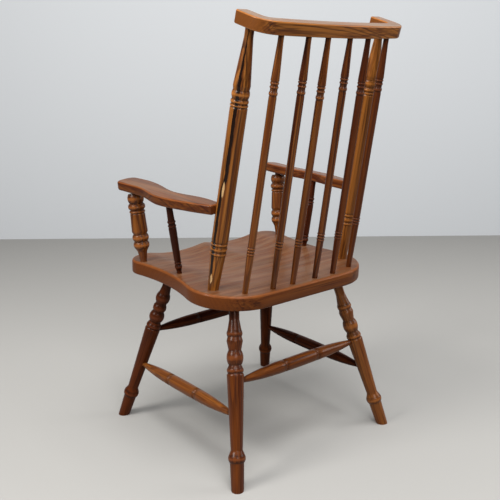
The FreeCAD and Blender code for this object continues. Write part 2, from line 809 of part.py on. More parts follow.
def post_outline(name):
    """A back post's profile: three low rings, a long shaft, three high rings and a taper."""
    low = (1, "post_%s_low_rings" % name)
    high = (1, "post_%s_high_bead" % name)
    ring = ("post_ring_diameter", "post_ring_edge_diameter")
    return [
        corner("post_foot_diameter", (-1, "post_socket_depth")),
        corner("post_foot_diameter", (1, "post_foot_length")),
        corner("post_low_taper_diameter", low, (-1, "post_low_ring_pitch"),
               (-1, "post_low_ring_width")),
        *bead(*ring, "post_low_ring_width", low, (-1, "post_low_ring_pitch")),
        *bead(*ring, "post_low_bead_width", low),
        *bead(*ring, "post_low_ring_width", low, (1, "post_low_ring_pitch")),
        corner("post_shaft_diameter", low, (1, "post_low_ring_pitch"),
               (1, "post_low_ring_width")),
        corner("post_shaft_diameter", high, (-1, "post_high_low_drop"),
               (-1, "post_high_low_width")),
        *bead(*ring, "post_high_low_width", high, (-1, "post_high_low_drop")),
        *bead(*ring, "post_high_mid_width", high, (-1, "post_high_mid_drop")),
        *bead(*ring, "post_high_bead_width", high),
        corner("post_shoulder_diameter", high, (1, "post_high_bead_width")),
    ]


def spindle_outline(number):
    """A back spindle's profile; each spindle was turned by hand and has its own heights."""
    low = (1, "spindle_%d_low_rings" % number)
    high = (1, "spindle_%d_high_bead" % number)
    ring = ("spindle_ring_diameter", "spindle_ring_edge_diameter", "spindle_ring_width")
    return [
        corner("spindle_foot_diameter", (-1, "spindle_socket_depth")),
        corner("spindle_foot_diameter", (1, "spindle_foot_length")),
        corner("spindle_shaft_diameter", low, (-1, "spindle_low_pitch"),
               (-1, "spindle_ring_width")),
        *bead(*ring, low, (-1, "spindle_low_pitch")),
        *bead(*ring, low),
        *bead(*ring, low, (1, "spindle_low_pitch")),
        corner("spindle_shaft_diameter", low, (1, "spindle_low_pitch"),
               (1, "spindle_ring_width")),
        corner("spindle_shaft_diameter", high, (-1, "spindle_bead_width")),
        *bead("spindle_ring_diameter", "spindle_ring_edge_diameter", "spindle_bead_width", high),
        *bead(*ring, high, (1, "spindle_high_step")),
        *bead(*ring, high, (1, "spindle_high_step"), (1, "spindle_high_pitch")),
        corner("spindle_collar_diameter", high, (1, "spindle_high_step"),
               (1, "spindle_high_pitch"), (1, "spindle_collar")),
    ]


SPINDLES = (
    (1, 1, "outer"),
    (2, 1, "middle"),
    (3, 1, "inner"),
    (4, -1, "inner"),
    (5, -1, "middle"),
    (6, -1, "outer"),
)


def post_line(side):
    """Where a back post leaves the seat, and its direction."""
    x, y = side * size("post_across"), size("post_back")
    lean = math.tan(math.radians(size("post_lean")))
    converge = math.tan(math.radians(size("post_converge")))
    direction = Vector(-side * converge, lean, 1).normalize()
    return height_on(SEAT_TOP, SEAT_UP, x, y), direction


def spindle_line(side, place):
    """Where a back spindle leaves the seat, and its direction."""
    x, y = side * size(place + "_spindle_across"), size(place + "_spindle_back")
    top_x = side * size(place + "_spindle_top_across")
    top_y = size(place + "_spindle_top_back")
    direction = Vector(top_x - x, top_y - y, size("spindle_lean_rise")).normalize()
    return height_on(SEAT_TOP, SEAT_UP, x, y), direction


def make_back():
    """Posts and spindles, with the cutters for their sockets in the seat and the rail."""
    pieces = []
    seat_cutters = []
    rail_cutters = []
    rows = [("back_post_" + name, post_outline(name), post_line(side), "post")
            for name, side in SIDES]
    rows += [("back_spindle_%d" % number, spindle_outline(number), spindle_line(side, place),
              "spindle") for number, side, place in SPINDLES]
    for label, profile, (start, direction), kind in rows:
        top = on_plane(start, direction, RAIL_UNDERSIDE, RAIL_UP)
        length = label + "_length"
        add_size(length, (top - start).Length)
        doc.recompute()
        end = kind + "_top_diameter"
        outline = profile + [
            corner(end, (1, length), (-1, kind + "_top_length")),
            corner(end, (1, length), (1, "rail_socket_depth")),
        ]
        cut = kind == "post"
        piece = turned(label + "_blank" if cut else label, outline, start, direction)
        if cut:
            side = 1 if start.x > 0 else -1
            piece = finished(label, piece, [dowel_hole(label + "_dowel_hole", side, "post")])
        pieces.append(piece)
        seat_cutters.append(socket(label + "_foot_socket", start, -direction,
                                   kind + "_foot_diameter", kind + "_socket_depth"))
        rail_cutters.append(socket(label + "_top_socket", top, direction,
                                   end, "rail_socket_depth"))
    return pieces, seat_cutters, rail_cutters


# Crest rail

def make_rail(cutters):
    """A bowed bar whose ends turn forward, rounded on every edge."""
    body = doc.addObject("PartDesign::Body", "crest_rail_blank")
    sketch = new_sketch(body, "crest_rail_plan", "XY_Plane")
    rules = Rules(sketch)
    half = size("rail_thickness") / 2
    bow = size("rail_bow_radius")
    turn = size("rail_corner_radius")
    turn_x = size("rail_wing_across") - turn
    turn_y = math.sqrt((bow - turn) ** 2 - turn_x ** 2) - bow
    meet = math.degrees(math.atan2(turn_y + bow, turn_x))
    reach = -size("rail_wing_reach")

    def run(offset):
        """One long side of the plan, from the left tip to the right tip."""
        wing_x = turn_x + turn + offset
        left_wing = sketch.addGeometry(Part.LineSegment(Vector(wing_x, reach, 0),
                                                        Vector(wing_x, turn_y, 0)))
        left_turn = sketch.addGeometry(arc(Vector(turn_x, turn_y, 0), turn + offset, 0, meet))
        middle = sketch.addGeometry(arc(Vector(0, -bow, 0), bow + offset, meet, 180 - meet))
        right_turn = sketch.addGeometry(arc(Vector(-turn_x, turn_y, 0), turn + offset,
                                            180 - meet, 180))
        right_wing = sketch.addGeometry(Part.LineSegment(Vector(-wing_x, turn_y, 0),
                                                         Vector(-wing_x, reach, 0)))
        chain = (left_wing, left_turn, middle, right_turn, right_wing)
        for first, second in zip(chain, chain[1:]):
            rules.add("Tangent", first, 2, second, 1)
        part = "Sizes.rail_thickness * %g" % (0.5 if offset > 0 else -0.5)
        for geometry, name in ((left_turn, "rail_corner_radius"),
                               (middle, "rail_bow_radius"),
                               (right_turn, "rail_corner_radius")):
            rules.bind("Sizes.%s + %s" % (name, part), "Radius", geometry, size(name) + offset)
        wing = "Sizes.rail_wing_across + " + part
        rules.bind(wing, "DistanceX", -1, 1, left_wing, 1, wing_x)
        rules.bind(wing, "DistanceX", right_wing, 2, -1, 1, wing_x)
        rules.bind("Sizes.rail_wing_reach", "DistanceY", left_wing, 1, -1, 1, -reach)
        rules.bind("Sizes.rail_wing_reach", "DistanceY", right_wing, 2, -1, 1, -reach)
        rules.add("Vertical", left_wing)
        rules.add("Vertical", right_wing)
        rules.add("PointOnObject", middle, 3, -2)
        return left_wing, right_wing, wing_x

    outer_left, outer_right, outer_x = run(half)
    inner_left, inner_right, inner_x = run(-half)
    left_tip = sketch.addGeometry(Part.LineSegment(Vector(outer_x, reach, 0),
                                                   Vector(inner_x, reach, 0)))
    right_tip = sketch.addGeometry(Part.LineSegment(Vector(-outer_x, reach, 0),
                                                    Vector(-inner_x, reach, 0)))
    rules.add("Coincident", left_tip, 1, outer_left, 1)
    rules.add("Coincident", left_tip, 2, inner_left, 1)
    rules.add("Coincident", right_tip, 1, outer_right, 2)
    rules.add("Coincident", right_tip, 2, inner_right, 2)
    rules.apply()
    pad = body.newObject("PartDesign::Pad", "crest_rail_bar")
    pad.Profile = sketch
    pad.setExpression("Length", "Sizes.rail_height")
    tips = rounding(body, "crest_rail_tips", pad, "rail_tip_rounding",
                    lambda middle, edge: upright(edge) and abs(middle.y - reach) < 0.01)
    height = size("rail_height")
    rounding(body, "crest_rail_edges", tips, "rail_edge_rounding",
             lambda middle, edge: min(abs(middle.z), abs(middle.z - height)) < 0.01)
    body.Placement = FreeCAD.Placement(RAIL_UNDERSIDE, turn_about_x(-size("rail_tilt")))
    return finished("crest_rail", body, cutters)


# Arms

STATIONS = (
    ("arm_tip", "forward"),
    ("arm_palm", "forward"),
    ("arm_waist", "forward"),
    ("arm_swell", "forward"),
    ("arm_wrist", "back"),
    ("arm_end", "back"),
)


def make_arm(name, side, cutters):
    """A board with wavy sides, sawn through six widths along it, and rounded all over."""
    label = "arm_" + name
    body = doc.addObject("PartDesign::Body", label + "_blank")
    sketch = new_sketch(body, label + "_plan", "XY_Plane")
    rules = Rules(sketch)

    def terms(station, way, edge):
        """The sums of sizes that place one corner of a width."""
        across = [(side, "%s_%s" % (station, edge)), (-side, "arm_across")]
        along = [(-1 if way == "forward" else 1, "%s_%s" % (station, way))]
        return across, along

    edges = []
    for edge in ("inner", "outer"):
        places = [terms(station, way, edge) for station, way in STATIONS]
        curve = Part.BSplineCurve()
        curve.interpolate([Vector(total(across), total(along), 0) for across, along in places])
        edges.append(sketch.addGeometry(curve))
        rules.place(edges[-1], 1, *places[0])
        rules.place(edges[-1], 2, *places[-1])
    for end in (1, 2):
        line = sketch.addGeometry(Part.LineSegment(sketch.getPoint(edges[0], end),
                                                   sketch.getPoint(edges[1], end)))
        rules.add("Coincident", line, 1, edges[0], end)
        rules.add("Coincident", line, 2, edges[1], end)
    rules.apply()
    pad = body.newObject("PartDesign::Pad", label + "_board")
    pad.Profile = sketch
    pad.setExpression("Length", "Sizes.arm_thickness")
    tip = -size("arm_tip_forward")
    end = size("arm_end_back")
    nose = rounding(body, label + "_tip_rounding", pad, "arm_tip_rounding",
                    lambda middle, edge: upright(edge) and abs(middle.y - tip) < 0.01)
    rounding(body, label + "_edge_rounding", nose, "arm_edge_rounding",
             lambda middle, edge: not upright(edge) and abs(middle.y - end) > 0.01)
    body.Placement = FreeCAD.Placement(arm_base(side), arm_turn(side))
    start, direction = post_line(side)
    cope = hole(label + "_cope", start, direction, "post_shaft_diameter",
                "Sizes.post_left_high_bead - Sizes.post_high_low_drop")
    return finished(label, body, cutters + [cope, dowel_hole(label + "_dowel_hole", side, "arm")])


def dowel_line(side):
    """The middle of a back post at the arm's middle height, and the way into the arm."""
    middle = arm_base(side) + arm_up(side) * (size("arm_thickness") / 2)
    start, direction = post_line(side)
    inside = on_plane(start, direction, middle, arm_up(side))
    aim = height_on(middle, arm_up(side), side * size("arm_dowel_aim_across"),
                    size("arm_dowel_aim_back"))
    return inside, (aim - inside).normalize()


def dowel_start(side):
    """The end of the dowel inside the post, and the dowel's direction."""
    inside, direction = dowel_line(side)
    reach = size("post_shaft_diameter") / 2 - size("arm_dowel_in_post")
    return inside + direction * reach, direction


def dowel_hole(label, side, piece):
    """The hole for the dowel in one of the two pieces that it joins."""
    start, direction = dowel_start(side)
    if piece == "post":
        start = start - direction * size("end_clearance")
        return hole(label, start, direction, "arm_dowel_diameter", "%g" % HOLE_RUN)
    length = "Sizes.arm_dowel_in_post + Sizes.arm_dowel_in_arm + Sizes.end_clearance"
    return hole(label, start, direction, "arm_dowel_diameter", length)


def make_dowel(name, side):
    """The dowel that holds an arm to its back post."""
    start, direction = dowel_start(side)
    dowel = doc.addObject("Part::Cylinder", "arm_dowel_" + name)
    dowel.setExpression("Radius", "Sizes.arm_dowel_diameter / 2")
    dowel.setExpression("Height", "Sizes.arm_dowel_in_post + Sizes.arm_dowel_in_arm")
    dowel.Placement = FreeCAD.Placement(start, FreeCAD.Rotation(Vector(0, 0, 1), direction))
    dowel.Label = "arm_dowel_" + name
    return dowel


ARM_POST = [
    corner("arm_post_foot_diameter", (-1, "arm_post_socket_depth")),
    corner("arm_post_foot_diameter", (1, "arm_post_foot_length")),
    corner("arm_post_cone_diameter", (1, "arm_post_cone_height")),
    *bead("arm_post_bulb_diameter", "arm_post_bulb_edge_diameter", "arm_post_bulb_width",
          (1, "arm_post_bulb_height")),
    *bead("arm_post_ring_diameter", "arm_post_bulb_edge_diameter", "arm_post_ring_width",
          (1, "arm_post_ring_height")),
    corner("arm_post_body_foot_diameter", (1, "arm_post_body_foot")),
    corner("arm_post_body_top_diameter", (1, "arm_post_body_top")),
    *bead("arm_post_fillet_diameter", "arm_post_neck_diameter", "arm_post_fillet_width",
          (1, "arm_post_fillet_height")),
    *bead("arm_post_collar_diameter", "arm_post_neck_diameter", "arm_post_collar_width",
          (1, "arm_post_collar_height")),
    *bead("arm_post_ball_diameter", "arm_post_neck_diameter", "arm_post_ball_width",
          (1, "arm_post_ball_height")),
]

ARM_SPINDLE = [
    corner("arm_spindle_foot_diameter", (-1, "arm_spindle_socket_depth")),
    corner("arm_spindle_foot_diameter", (1, "arm_spindle_foot_length")),
    *bead("arm_spindle_bulb_diameter", "arm_spindle_edge_diameter", "arm_spindle_bulb_width",
          (1, "arm_spindle_bulb_height")),
    *bead("arm_spindle_ring_diameter", "arm_spindle_edge_diameter", "arm_spindle_ring_width",
          (1, "arm_spindle_ring_height")),
    corner("arm_spindle_shaft_foot_diameter", (1, "arm_spindle_ring_height"),
           (1, "arm_spindle_ring_width")),
    corner("arm_spindle_shaft_diameter", (1, "arm_spindle_high_ring_height"),
           (-1, "arm_spindle_ring_width")),
    *bead("arm_spindle_high_ring_diameter", "arm_spindle_shaft_foot_diameter",
          "arm_spindle_ring_width", (1, "arm_spindle_high_ring_height")),
    *bead("arm_spindle_high_ring_diameter", "arm_spindle_shaft_foot_diameter",
          "arm_spindle_ring_width", (1, "arm_spindle_high_ring_height"),
          (1, "arm_spindle_high_ring_pitch")),
]


def make_arm_turnings():
    """Arm posts and arm spindles, with the cutters for their sockets."""
    pieces = []
    seat_cutters = []
    arm_cutters = {"left": [], "right": []}
    for kind, profile in (("arm_post", ARM_POST), ("arm_spindle", ARM_SPINDLE)):
        length = kind + "_length"
        for name, side in SIDES:
            label = "%s_%s" % (kind, name)
            start = height_on(SEAT_TOP, SEAT_UP, side * size(kind + "_across"),
                              -size(kind + "_forward"))
            top = height_on(arm_base(side), arm_up(side), side * size(kind + "_top_across"),
                            -size(kind + "_top_forward"))
            if side == 1:
                add_size(length, (top - start).Length)
                doc.recompute()
            direction = (top - start).normalize()
            outline = profile + [
                corner(kind + "_top_diameter", (1, length), (-1, kind + "_top_length")),
                corner(kind + "_top_diameter", (1, length), (1, "arm_socket_depth")),
            ]
            pieces.append(turned(label, outline, start, direction))
            seat_cutters.append(socket(label + "_foot_socket", start, -direction,
                                       kind + "_foot_diameter", kind + "_socket_depth"))
            arm_cutters[name].append(socket(label + "_top_socket", top, direction,
                                            kind + "_top_diameter", "arm_socket_depth"))
    return pieces, seat_cutters, arm_cutters


def check(piece):
    """Stop if a piece isn't one sound solid."""
    shape = piece.Shape
    if shape.isNull() or not shape.isValid() or len(shape.Solids) != 1:
        raise ValueError("%s is not one sound solid" % piece.Label)


legs, leg_sockets = make_legs()
stretchers = make_stretchers()
uprights, upright_sockets, rail_sockets = make_back()
turnings, turning_sockets, arm_sockets = make_arm_turnings()
pieces = legs + stretchers + uprights + turnings
pieces.append(make_rail(rail_sockets))
for name, side in SIDES:
    pieces.append(make_arm(name, side, arm_sockets[name]))
    pieces.append(make_dowel(name, side))
pieces.append(finished("seat", make_seat(), leg_sockets + upright_sockets + turning_sockets))
doc.recompute()

for item in doc.Objects:
    if "Invalid" in item.State or "Error" in item.State:
        raise ValueError("%s did not build" % item.Label)
os.makedirs("parts", exist_ok=True)
for piece in pieces:
    check(piece)
    piece.Shape.exportStep("parts/%s.step" % piece.Label)
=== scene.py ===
import math

import bmesh
import bpy
from mathutils import Euler, Matrix, Vector
from mathutils.geometry import interpolate_bezier, intersect_line_plane


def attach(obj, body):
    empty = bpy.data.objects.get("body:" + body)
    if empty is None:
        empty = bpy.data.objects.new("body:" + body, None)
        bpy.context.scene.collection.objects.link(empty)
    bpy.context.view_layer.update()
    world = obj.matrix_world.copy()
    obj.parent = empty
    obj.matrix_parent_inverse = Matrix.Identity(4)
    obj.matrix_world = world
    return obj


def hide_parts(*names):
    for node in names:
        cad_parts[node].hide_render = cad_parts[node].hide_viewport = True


bl_info = {
    "name": "Captains chair",
    "version": (1, 0, 0),
    "blender": (4, 5, 0),
    "location": "3D View > Sidebar > Chair",
    "description": "A pine armchair on turned legs, with a bowed crest rail and turned spindles",
    "category": "Object",
}

# The chair faces -Y, +X is the sitter's left, and the origin is on the floor. Outlines and
# profiles are in millimetres, and they are made metres when a mesh is built.

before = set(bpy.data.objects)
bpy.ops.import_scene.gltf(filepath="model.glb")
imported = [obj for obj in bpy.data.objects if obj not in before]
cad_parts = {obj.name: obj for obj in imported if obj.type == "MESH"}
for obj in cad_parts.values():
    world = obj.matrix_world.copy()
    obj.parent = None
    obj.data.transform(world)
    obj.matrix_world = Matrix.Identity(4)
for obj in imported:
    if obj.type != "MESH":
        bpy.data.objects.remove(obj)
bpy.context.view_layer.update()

MM = 0.001
MERGE = 0.00001  # metres; points closer than this are one point
SIDES = (("left", 1), ("right", -1))
X_AXIS = Vector((1, 0, 0))
Y_AXIS = Vector((0, 1, 0))
Z_AXIS = Vector((0, 0, 1))


# Settings that a user would change

class ChairShape(bpy.types.PropertyGroup):
    turning_steps: bpy.props.IntProperty(
        name="Turning steps", description="Flats round each turned piece", default=56, min=16)
    round_steps: bpy.props.IntProperty(
        name="Round steps", description="Runs along each round of a turning", default=9, min=4)
    grid_step: bpy.props.FloatProperty(
        name="Seat grid", description="Distance between the cuts across the seat's top",
        default=0.009, unit="LENGTH")
    thigh_depth: bpy.props.FloatProperty(
        name="Thigh hollow", description="Depth of each hollow at the seat's front",
        default=0.0105, unit="LENGTH")
    bowl_depth: bpy.props.FloatProperty(
        name="Seat bowl", description="Depth of the hollow at the seat's middle",
        default=0.009, unit="LENGTH")


def colour(name, description, default):
    return bpy.props.FloatVectorProperty(name=name, description=description, subtype="COLOR",
                                         size=3, min=0, max=1, default=default)


class ChairColours(bpy.types.PropertyGroup):
    gold: colour("Gold", "Early wood where the varnish is thin", (0.34, 0.118, 0.020))
    honey: colour("Honey", "Early wood between gold and amber", (0.235, 0.075, 0.013))
    amber: colour("Amber", "Early wood of the lighter pieces", (0.170, 0.048, 0.0080))
    russet: colour("Russet", "Early wood between amber and red brown", (0.125, 0.031, 0.0048))
    red: colour("Red brown", "Early wood of the darker pieces", (0.085, 0.018, 0.0035))
    late: colour("Late wood", "The dark lines of the grain", (0.030, 0.0060, 0.0020))
    # Worn varnish together with a painted sheen, laid on the tops of the seat, arms and crest rail
    # for their greyish reflection.
    worn_and_sheen: colour("Worn brown", "Where hands and use have rubbed the varnish", (0.22, 0.125, 0.070))
    # Dirt together with painted shade, darkening the grooves of the turnings.
    dirt_and_shade: colour("Dirt", "What has settled in the grooves", (0.010, 0.003, 0.0015))
    floor: colour("Floor", "The pale floor", (0.44, 0.43, 0.41))
    wall: colour("Wall", "The wall behind", (0.70, 0.72, 0.74))


def shape():
    return bpy.context.scene.chair_shape


def colours():
    return bpy.context.scene.chair_colours


# Wood

# How often each pattern repeats in a metre, across the grain both ways and along it
SLOW_BENDS = (9, 9, 1.3)
QUICK_BENDS = (48, 48, 4.5)
STRIPES = (105, 105, 2.6)
FIBRES = (620, 620, 12)
FLECKS = (270, 270, 6)
WORN_AND_SHEEN_PATCHES = (60, 60, 7)
WEAR_AND_LIGHT_PATCHES = (70, 70, 30)
RAGGED_EDGES = (260, 260, 60)


class Nodes:
    """Short calls that add shader nodes to a tree and join them."""

    def __init__(self, tree):
        self.tree = tree

    def add(self, kind, inputs=(), **values):
        node = self.tree.nodes.new(kind)
        for name, value in values.items():
            setattr(node, name, value)
        for socket, value in dict(inputs).items():
            self.feed(node.inputs[socket], value)
        return node

    def feed(self, socket, value):
        if isinstance(value, bpy.types.NodeSocket):
            self.tree.links.new(value, socket)
        else:
            socket.default_value = value

    def math(self, operation, *values, clamp=False):
        node = self.add("ShaderNodeMath", operation=operation, use_clamp=clamp)
        for socket, value in zip(node.inputs, values):
            self.feed(socket, value)
        return node.outputs[0]

    def noise(self, vector, pattern, detail, seed):
        """Noise between 0 and 1, drawn out along the grain."""
        place = self.add("ShaderNodeVectorMath", operation="MULTIPLY_ADD")
        for socket, value in zip(place.inputs, (vector, pattern, (seed, seed, seed))):
            self.feed(socket, value)
        node = self.add("ShaderNodeTexNoise", {"Vector": place.outputs[0], "Scale": 1.0,
                                               "Detail": detail})
        return node.outputs["Fac"]

    def ramp(self, value, low, high):
        """A value eased from low..high to 0..1."""
        node = self.add("ShaderNodeMapRange", {"Value": value, "From Min": low, "From Max": high},
                        interpolation_type="SMOOTHSTEP")
        return node.outputs["Result"]

    def attribute(self, name, output="Fac"):
        return self.add("ShaderNodeAttribute", attribute_name=name).outputs[output]

    def blend(self, factor, first, second, mode="MIX"):
        node = self.add("ShaderNodeMix", data_type="RGBA", blend_type=mode)
        self.feed(node.inputs["Factor"], factor)
        self.feed(node.inputs["A"], first)
        self.feed(node.inputs["B"], second)
        return node.outputs["Result"]


def opaque(value):
    return (*value, 1.0)


def grain_group():
    """Pitch pine as a solid: growth rings about a pith along Z, stripes, fibres and flecks."""
    name = "pitch_pine_grain"
    slow_reach, quick_reach = 0.022, 0.0036  # metres that the bends move a ring
    if name in bpy.data.node_groups:
        return bpy.data.node_groups[name]
    tree = bpy.data.node_groups.new(name, "ShaderNodeTree")
    face = tree.interface
    face.new_socket("Grain", in_out="INPUT", socket_type="NodeSocketVector")
    face.new_socket("Spacing", in_out="INPUT", socket_type="NodeSocketFloat").default_value = 0.005
    for output in ("Late", "Stripe", "Fibre", "Fleck"):
        face.new_socket(output, in_out="OUTPUT", socket_type="NodeSocketFloat")
    nodes = Nodes(tree)
    given = nodes.add("NodeGroupInput")
    result = nodes.add("NodeGroupOutput")
    grain = given.outputs["Grain"]
    parts = nodes.add("ShaderNodeSeparateXYZ", {"Vector": grain})
    across = nodes.math("POWER", parts.outputs["X"], 2.0)
    along = nodes.math("POWER", parts.outputs["Y"], 2.0)
    radius = nodes.math("SQRT", nodes.math("ADD", across, along))
    slow = nodes.noise(grain, SLOW_BENDS, 2.0, 3.1)
    quick = nodes.noise(grain, QUICK_BENDS, 2.0, 8.7)
    radius = nodes.math("MULTIPLY_ADD", nodes.math("SUBTRACT", slow, 0.5), slow_reach, radius)
    radius = nodes.math("MULTIPLY_ADD", nodes.math("SUBTRACT", quick, 0.5), quick_reach, radius)
    turns = nodes.math("DIVIDE", radius, given.outputs["Spacing"])
    # Years of uneven growth, then within each year a slow rise to late wood and a sharp end
    uneven = nodes.add("ShaderNodeTexNoise", {"W": turns, "Scale": 0.45, "Detail": 1.0},
                       noise_dimensions="1D")
    turns = nodes.math("MULTIPLY_ADD", uneven.outputs["Fac"], 1.3, turns)
    ring = nodes.math("FRACT", turns)
    rise = nodes.ramp(ring, 0.42, 0.86)
    fall = nodes.ramp(ring, 1.0, 0.93)
    year = nodes.add("ShaderNodeTexNoise", {"W": nodes.math("FLOOR", turns), "Scale": 3.7,
                                            "Detail": 0.0}, noise_dimensions="1D")
    weight = nodes.ramp(year.outputs["Fac"], 0.25, 0.7)
    late = nodes.math("MULTIPLY", nodes.math("MULTIPLY", rise, fall),
                      nodes.math("MULTIPLY_ADD", weight, 0.7, 0.3))
    nodes.feed(result.inputs["Late"], late)
    nodes.feed(result.inputs["Stripe"],
               nodes.ramp(nodes.noise(grain, STRIPES, 2.0, 5.3), 0.40, 0.60))
    nodes.feed(result.inputs["Fibre"], nodes.noise(grain, FIBRES, 3.0, 1.9))
    nodes.feed(result.inputs["Fleck"],
               nodes.ramp(nodes.noise(grain, FLECKS, 1.0, 4.4), 0.54, 0.70))
    return tree


def grain_from(nodes):
    """The place in the tree that each point of a piece was cut from."""
    return nodes.attribute("grain", "Vector")


def bare_wood(nodes, grain, light, dark, contrast):
    """The wood's own colour, calmer and darker where it is sawn across the grain."""
    late_wood = opaque(colours().late)
    sawn = nodes.attribute("end_grain")
    stripe = nodes.math("ADD", nodes.math("MULTIPLY", grain["Stripe"],
                                          nodes.math("SUBTRACT", 1, sawn)),
                        nodes.math("MULTIPLY", sawn, 0.25))
    late = nodes.math("MULTIPLY", grain["Late"], nodes.math("MULTIPLY_ADD", sawn, -0.6, 1))
    fleck = nodes.math("MULTIPLY", grain["Fleck"], nodes.math("MULTIPLY_ADD", sawn, -0.85, 1))
    base = nodes.blend(stripe, opaque(dark), opaque(light))
    base = nodes.blend(nodes.math("MULTIPLY", late, contrast), base, late_wood)
    base = nodes.blend(nodes.math("MULTIPLY", fleck, 0.6), base, late_wood)
    shade = nodes.math("MULTIPLY_ADD", grain["Fibre"], 0.9, 0.55)
    shaded = nodes.add("ShaderNodeCombineColor", {"Red": shade, "Green": shade, "Blue": shade})
    return nodes.blend(1.0, base, shaded.outputs[0], "MULTIPLY"), late


def wear_dirt_and_painted_light(nodes, place, base, light):
    """A colour worn and painted with a sheen on top, rubbed and painted lighter as a highlight on
    rounds, dirty and painted with shade in grooves; and that groove dirt and shade.
    """
    # Worn varnish with a painted sheen on top faces, in patches.
    wear_and_sheen_patches = nodes.ramp(nodes.noise(place, WORN_AND_SHEEN_PATCHES, 3.0, 9.9), 0.36, 0.66)
    wear_and_sheen = nodes.math("MULTIPLY", nodes.attribute("wear_and_sheen"),
                      nodes.math("MULTIPLY_ADD", wear_and_sheen_patches, 0.6, 0.25))
    base = nodes.blend(wear_and_sheen, base, opaque(colours().worn_and_sheen))
    tone = nodes.attribute("edge_tone")
    patchy = nodes.noise(place, WEAR_AND_LIGHT_PATCHES, 2.0, 6.6)
    rub_and_highlight = nodes.math("MULTIPLY", nodes.ramp(tone, -0.2, -1.0),
                        nodes.math("MULTIPLY_ADD", patchy, 0.7, 0.2))
    # Rubbed wear on rounds and edges, with a painted highlight: a lighter copy of the wood's light
    # colour.
    base = nodes.blend(rub_and_highlight, base, opaque([channel * 1.7 + 0.008 for channel in light]))
    # Dirt with painted shade in grooves and at the feet of beads.
    dirt_and_shade_in_grooves = nodes.math("MULTIPLY", nodes.ramp(tone, 0.25, 1.0),
                         nodes.math("MULTIPLY_ADD", patchy, 0.7, 0.35))
    base = nodes.blend(nodes.math("MULTIPLY", dirt_and_shade_in_grooves, 0.6, clamp=True), base,
                       opaque(colours().dirt_and_shade))
    return base, dirt_and_shade_in_grooves


def wood(name, light, dark, spacing=0.006, contrast=0.75, gloss=0.34, shine=0.12, coat=0.2,
         source=grain_from, mark=None):
    """A varnished pine: light and dark are its early-wood colours, and mark adds a blemish."""
    if name in bpy.data.materials:
        return bpy.data.materials[name]
    material = bpy.data.materials.new(name)
    material.use_nodes = True
    material.node_tree.nodes.clear()
    nodes = Nodes(material.node_tree)
    place = source(nodes)
    grain = nodes.add("ShaderNodeGroup", node_tree=grain_group())
    nodes.feed(grain.inputs["Grain"], place)
    grain.inputs["Spacing"].default_value = spacing
    base, late = bare_wood(nodes, grain.outputs, light, dark, contrast)
    if mark:
        base = mark(nodes, place, base)
    base, dirt_and_shade_in_grooves = wear_dirt_and_painted_light(nodes, place, base, light)
    fibre = grain.outputs["Fibre"]
    rough = nodes.math("MULTIPLY_ADD", fibre, 0.16, gloss - 0.05)
    rough = nodes.math("MULTIPLY_ADD", dirt_and_shade_in_grooves, 0.2, rough)
    height = nodes.math("MULTIPLY_ADD", late, 0.7, nodes.math("MULTIPLY", fibre, 0.5))
    bump = nodes.add("ShaderNodeBump", {"Strength": 0.35, "Distance": 0.0005, "Height": height})
    shader = nodes.add("ShaderNodeBsdfPrincipled", {
        "Base Color": base, "Roughness": rough, "IOR": 1.5, "Normal": bump.outputs["Normal"],
        "Specular IOR Level": shine, "Coat Weight": coat, "Coat Roughness": 0.16,
        "Coat IOR": 1.5})
    nodes.add("ShaderNodeOutputMaterial", {"Surface": shader.outputs["BSDF"]})
    return material


# The left post's streak, the painted shade of a lengthwise crack, in metres up the post from the
# seat and across it

POST_PITH = (0.06, 0.02, 0.4)
STREAK_TURN = math.radians(20)  # round the post, from the sitter's left towards the back
STREAK_FOOT = (0.012, 0.05)
STREAK_STEP = (0.225, 0.275)  # where it moves aside, and how far each way
STREAK_ASIDE = 0.0033
STREAK_TOP = (0.56, 0.44)
STREAK_HALF_WIDTH = (0.0009, 0.0037)  # above and below its top
STREAK_RAGGED = 0.0044
SPLINTER_HALF_WIDTH = 0.0028
SPLINTERS = (
    # height, half length, place across
    (0.243, 0.019, 0.0012),
    (0.030, 0.013, -0.0005),
)
# Near black: the painted shade inside the post's crack.
CRACK_SHADE = (0.010, 0.003, 0.001, 1)
BARE_PINE = (0.62, 0.38, 0.17, 1)


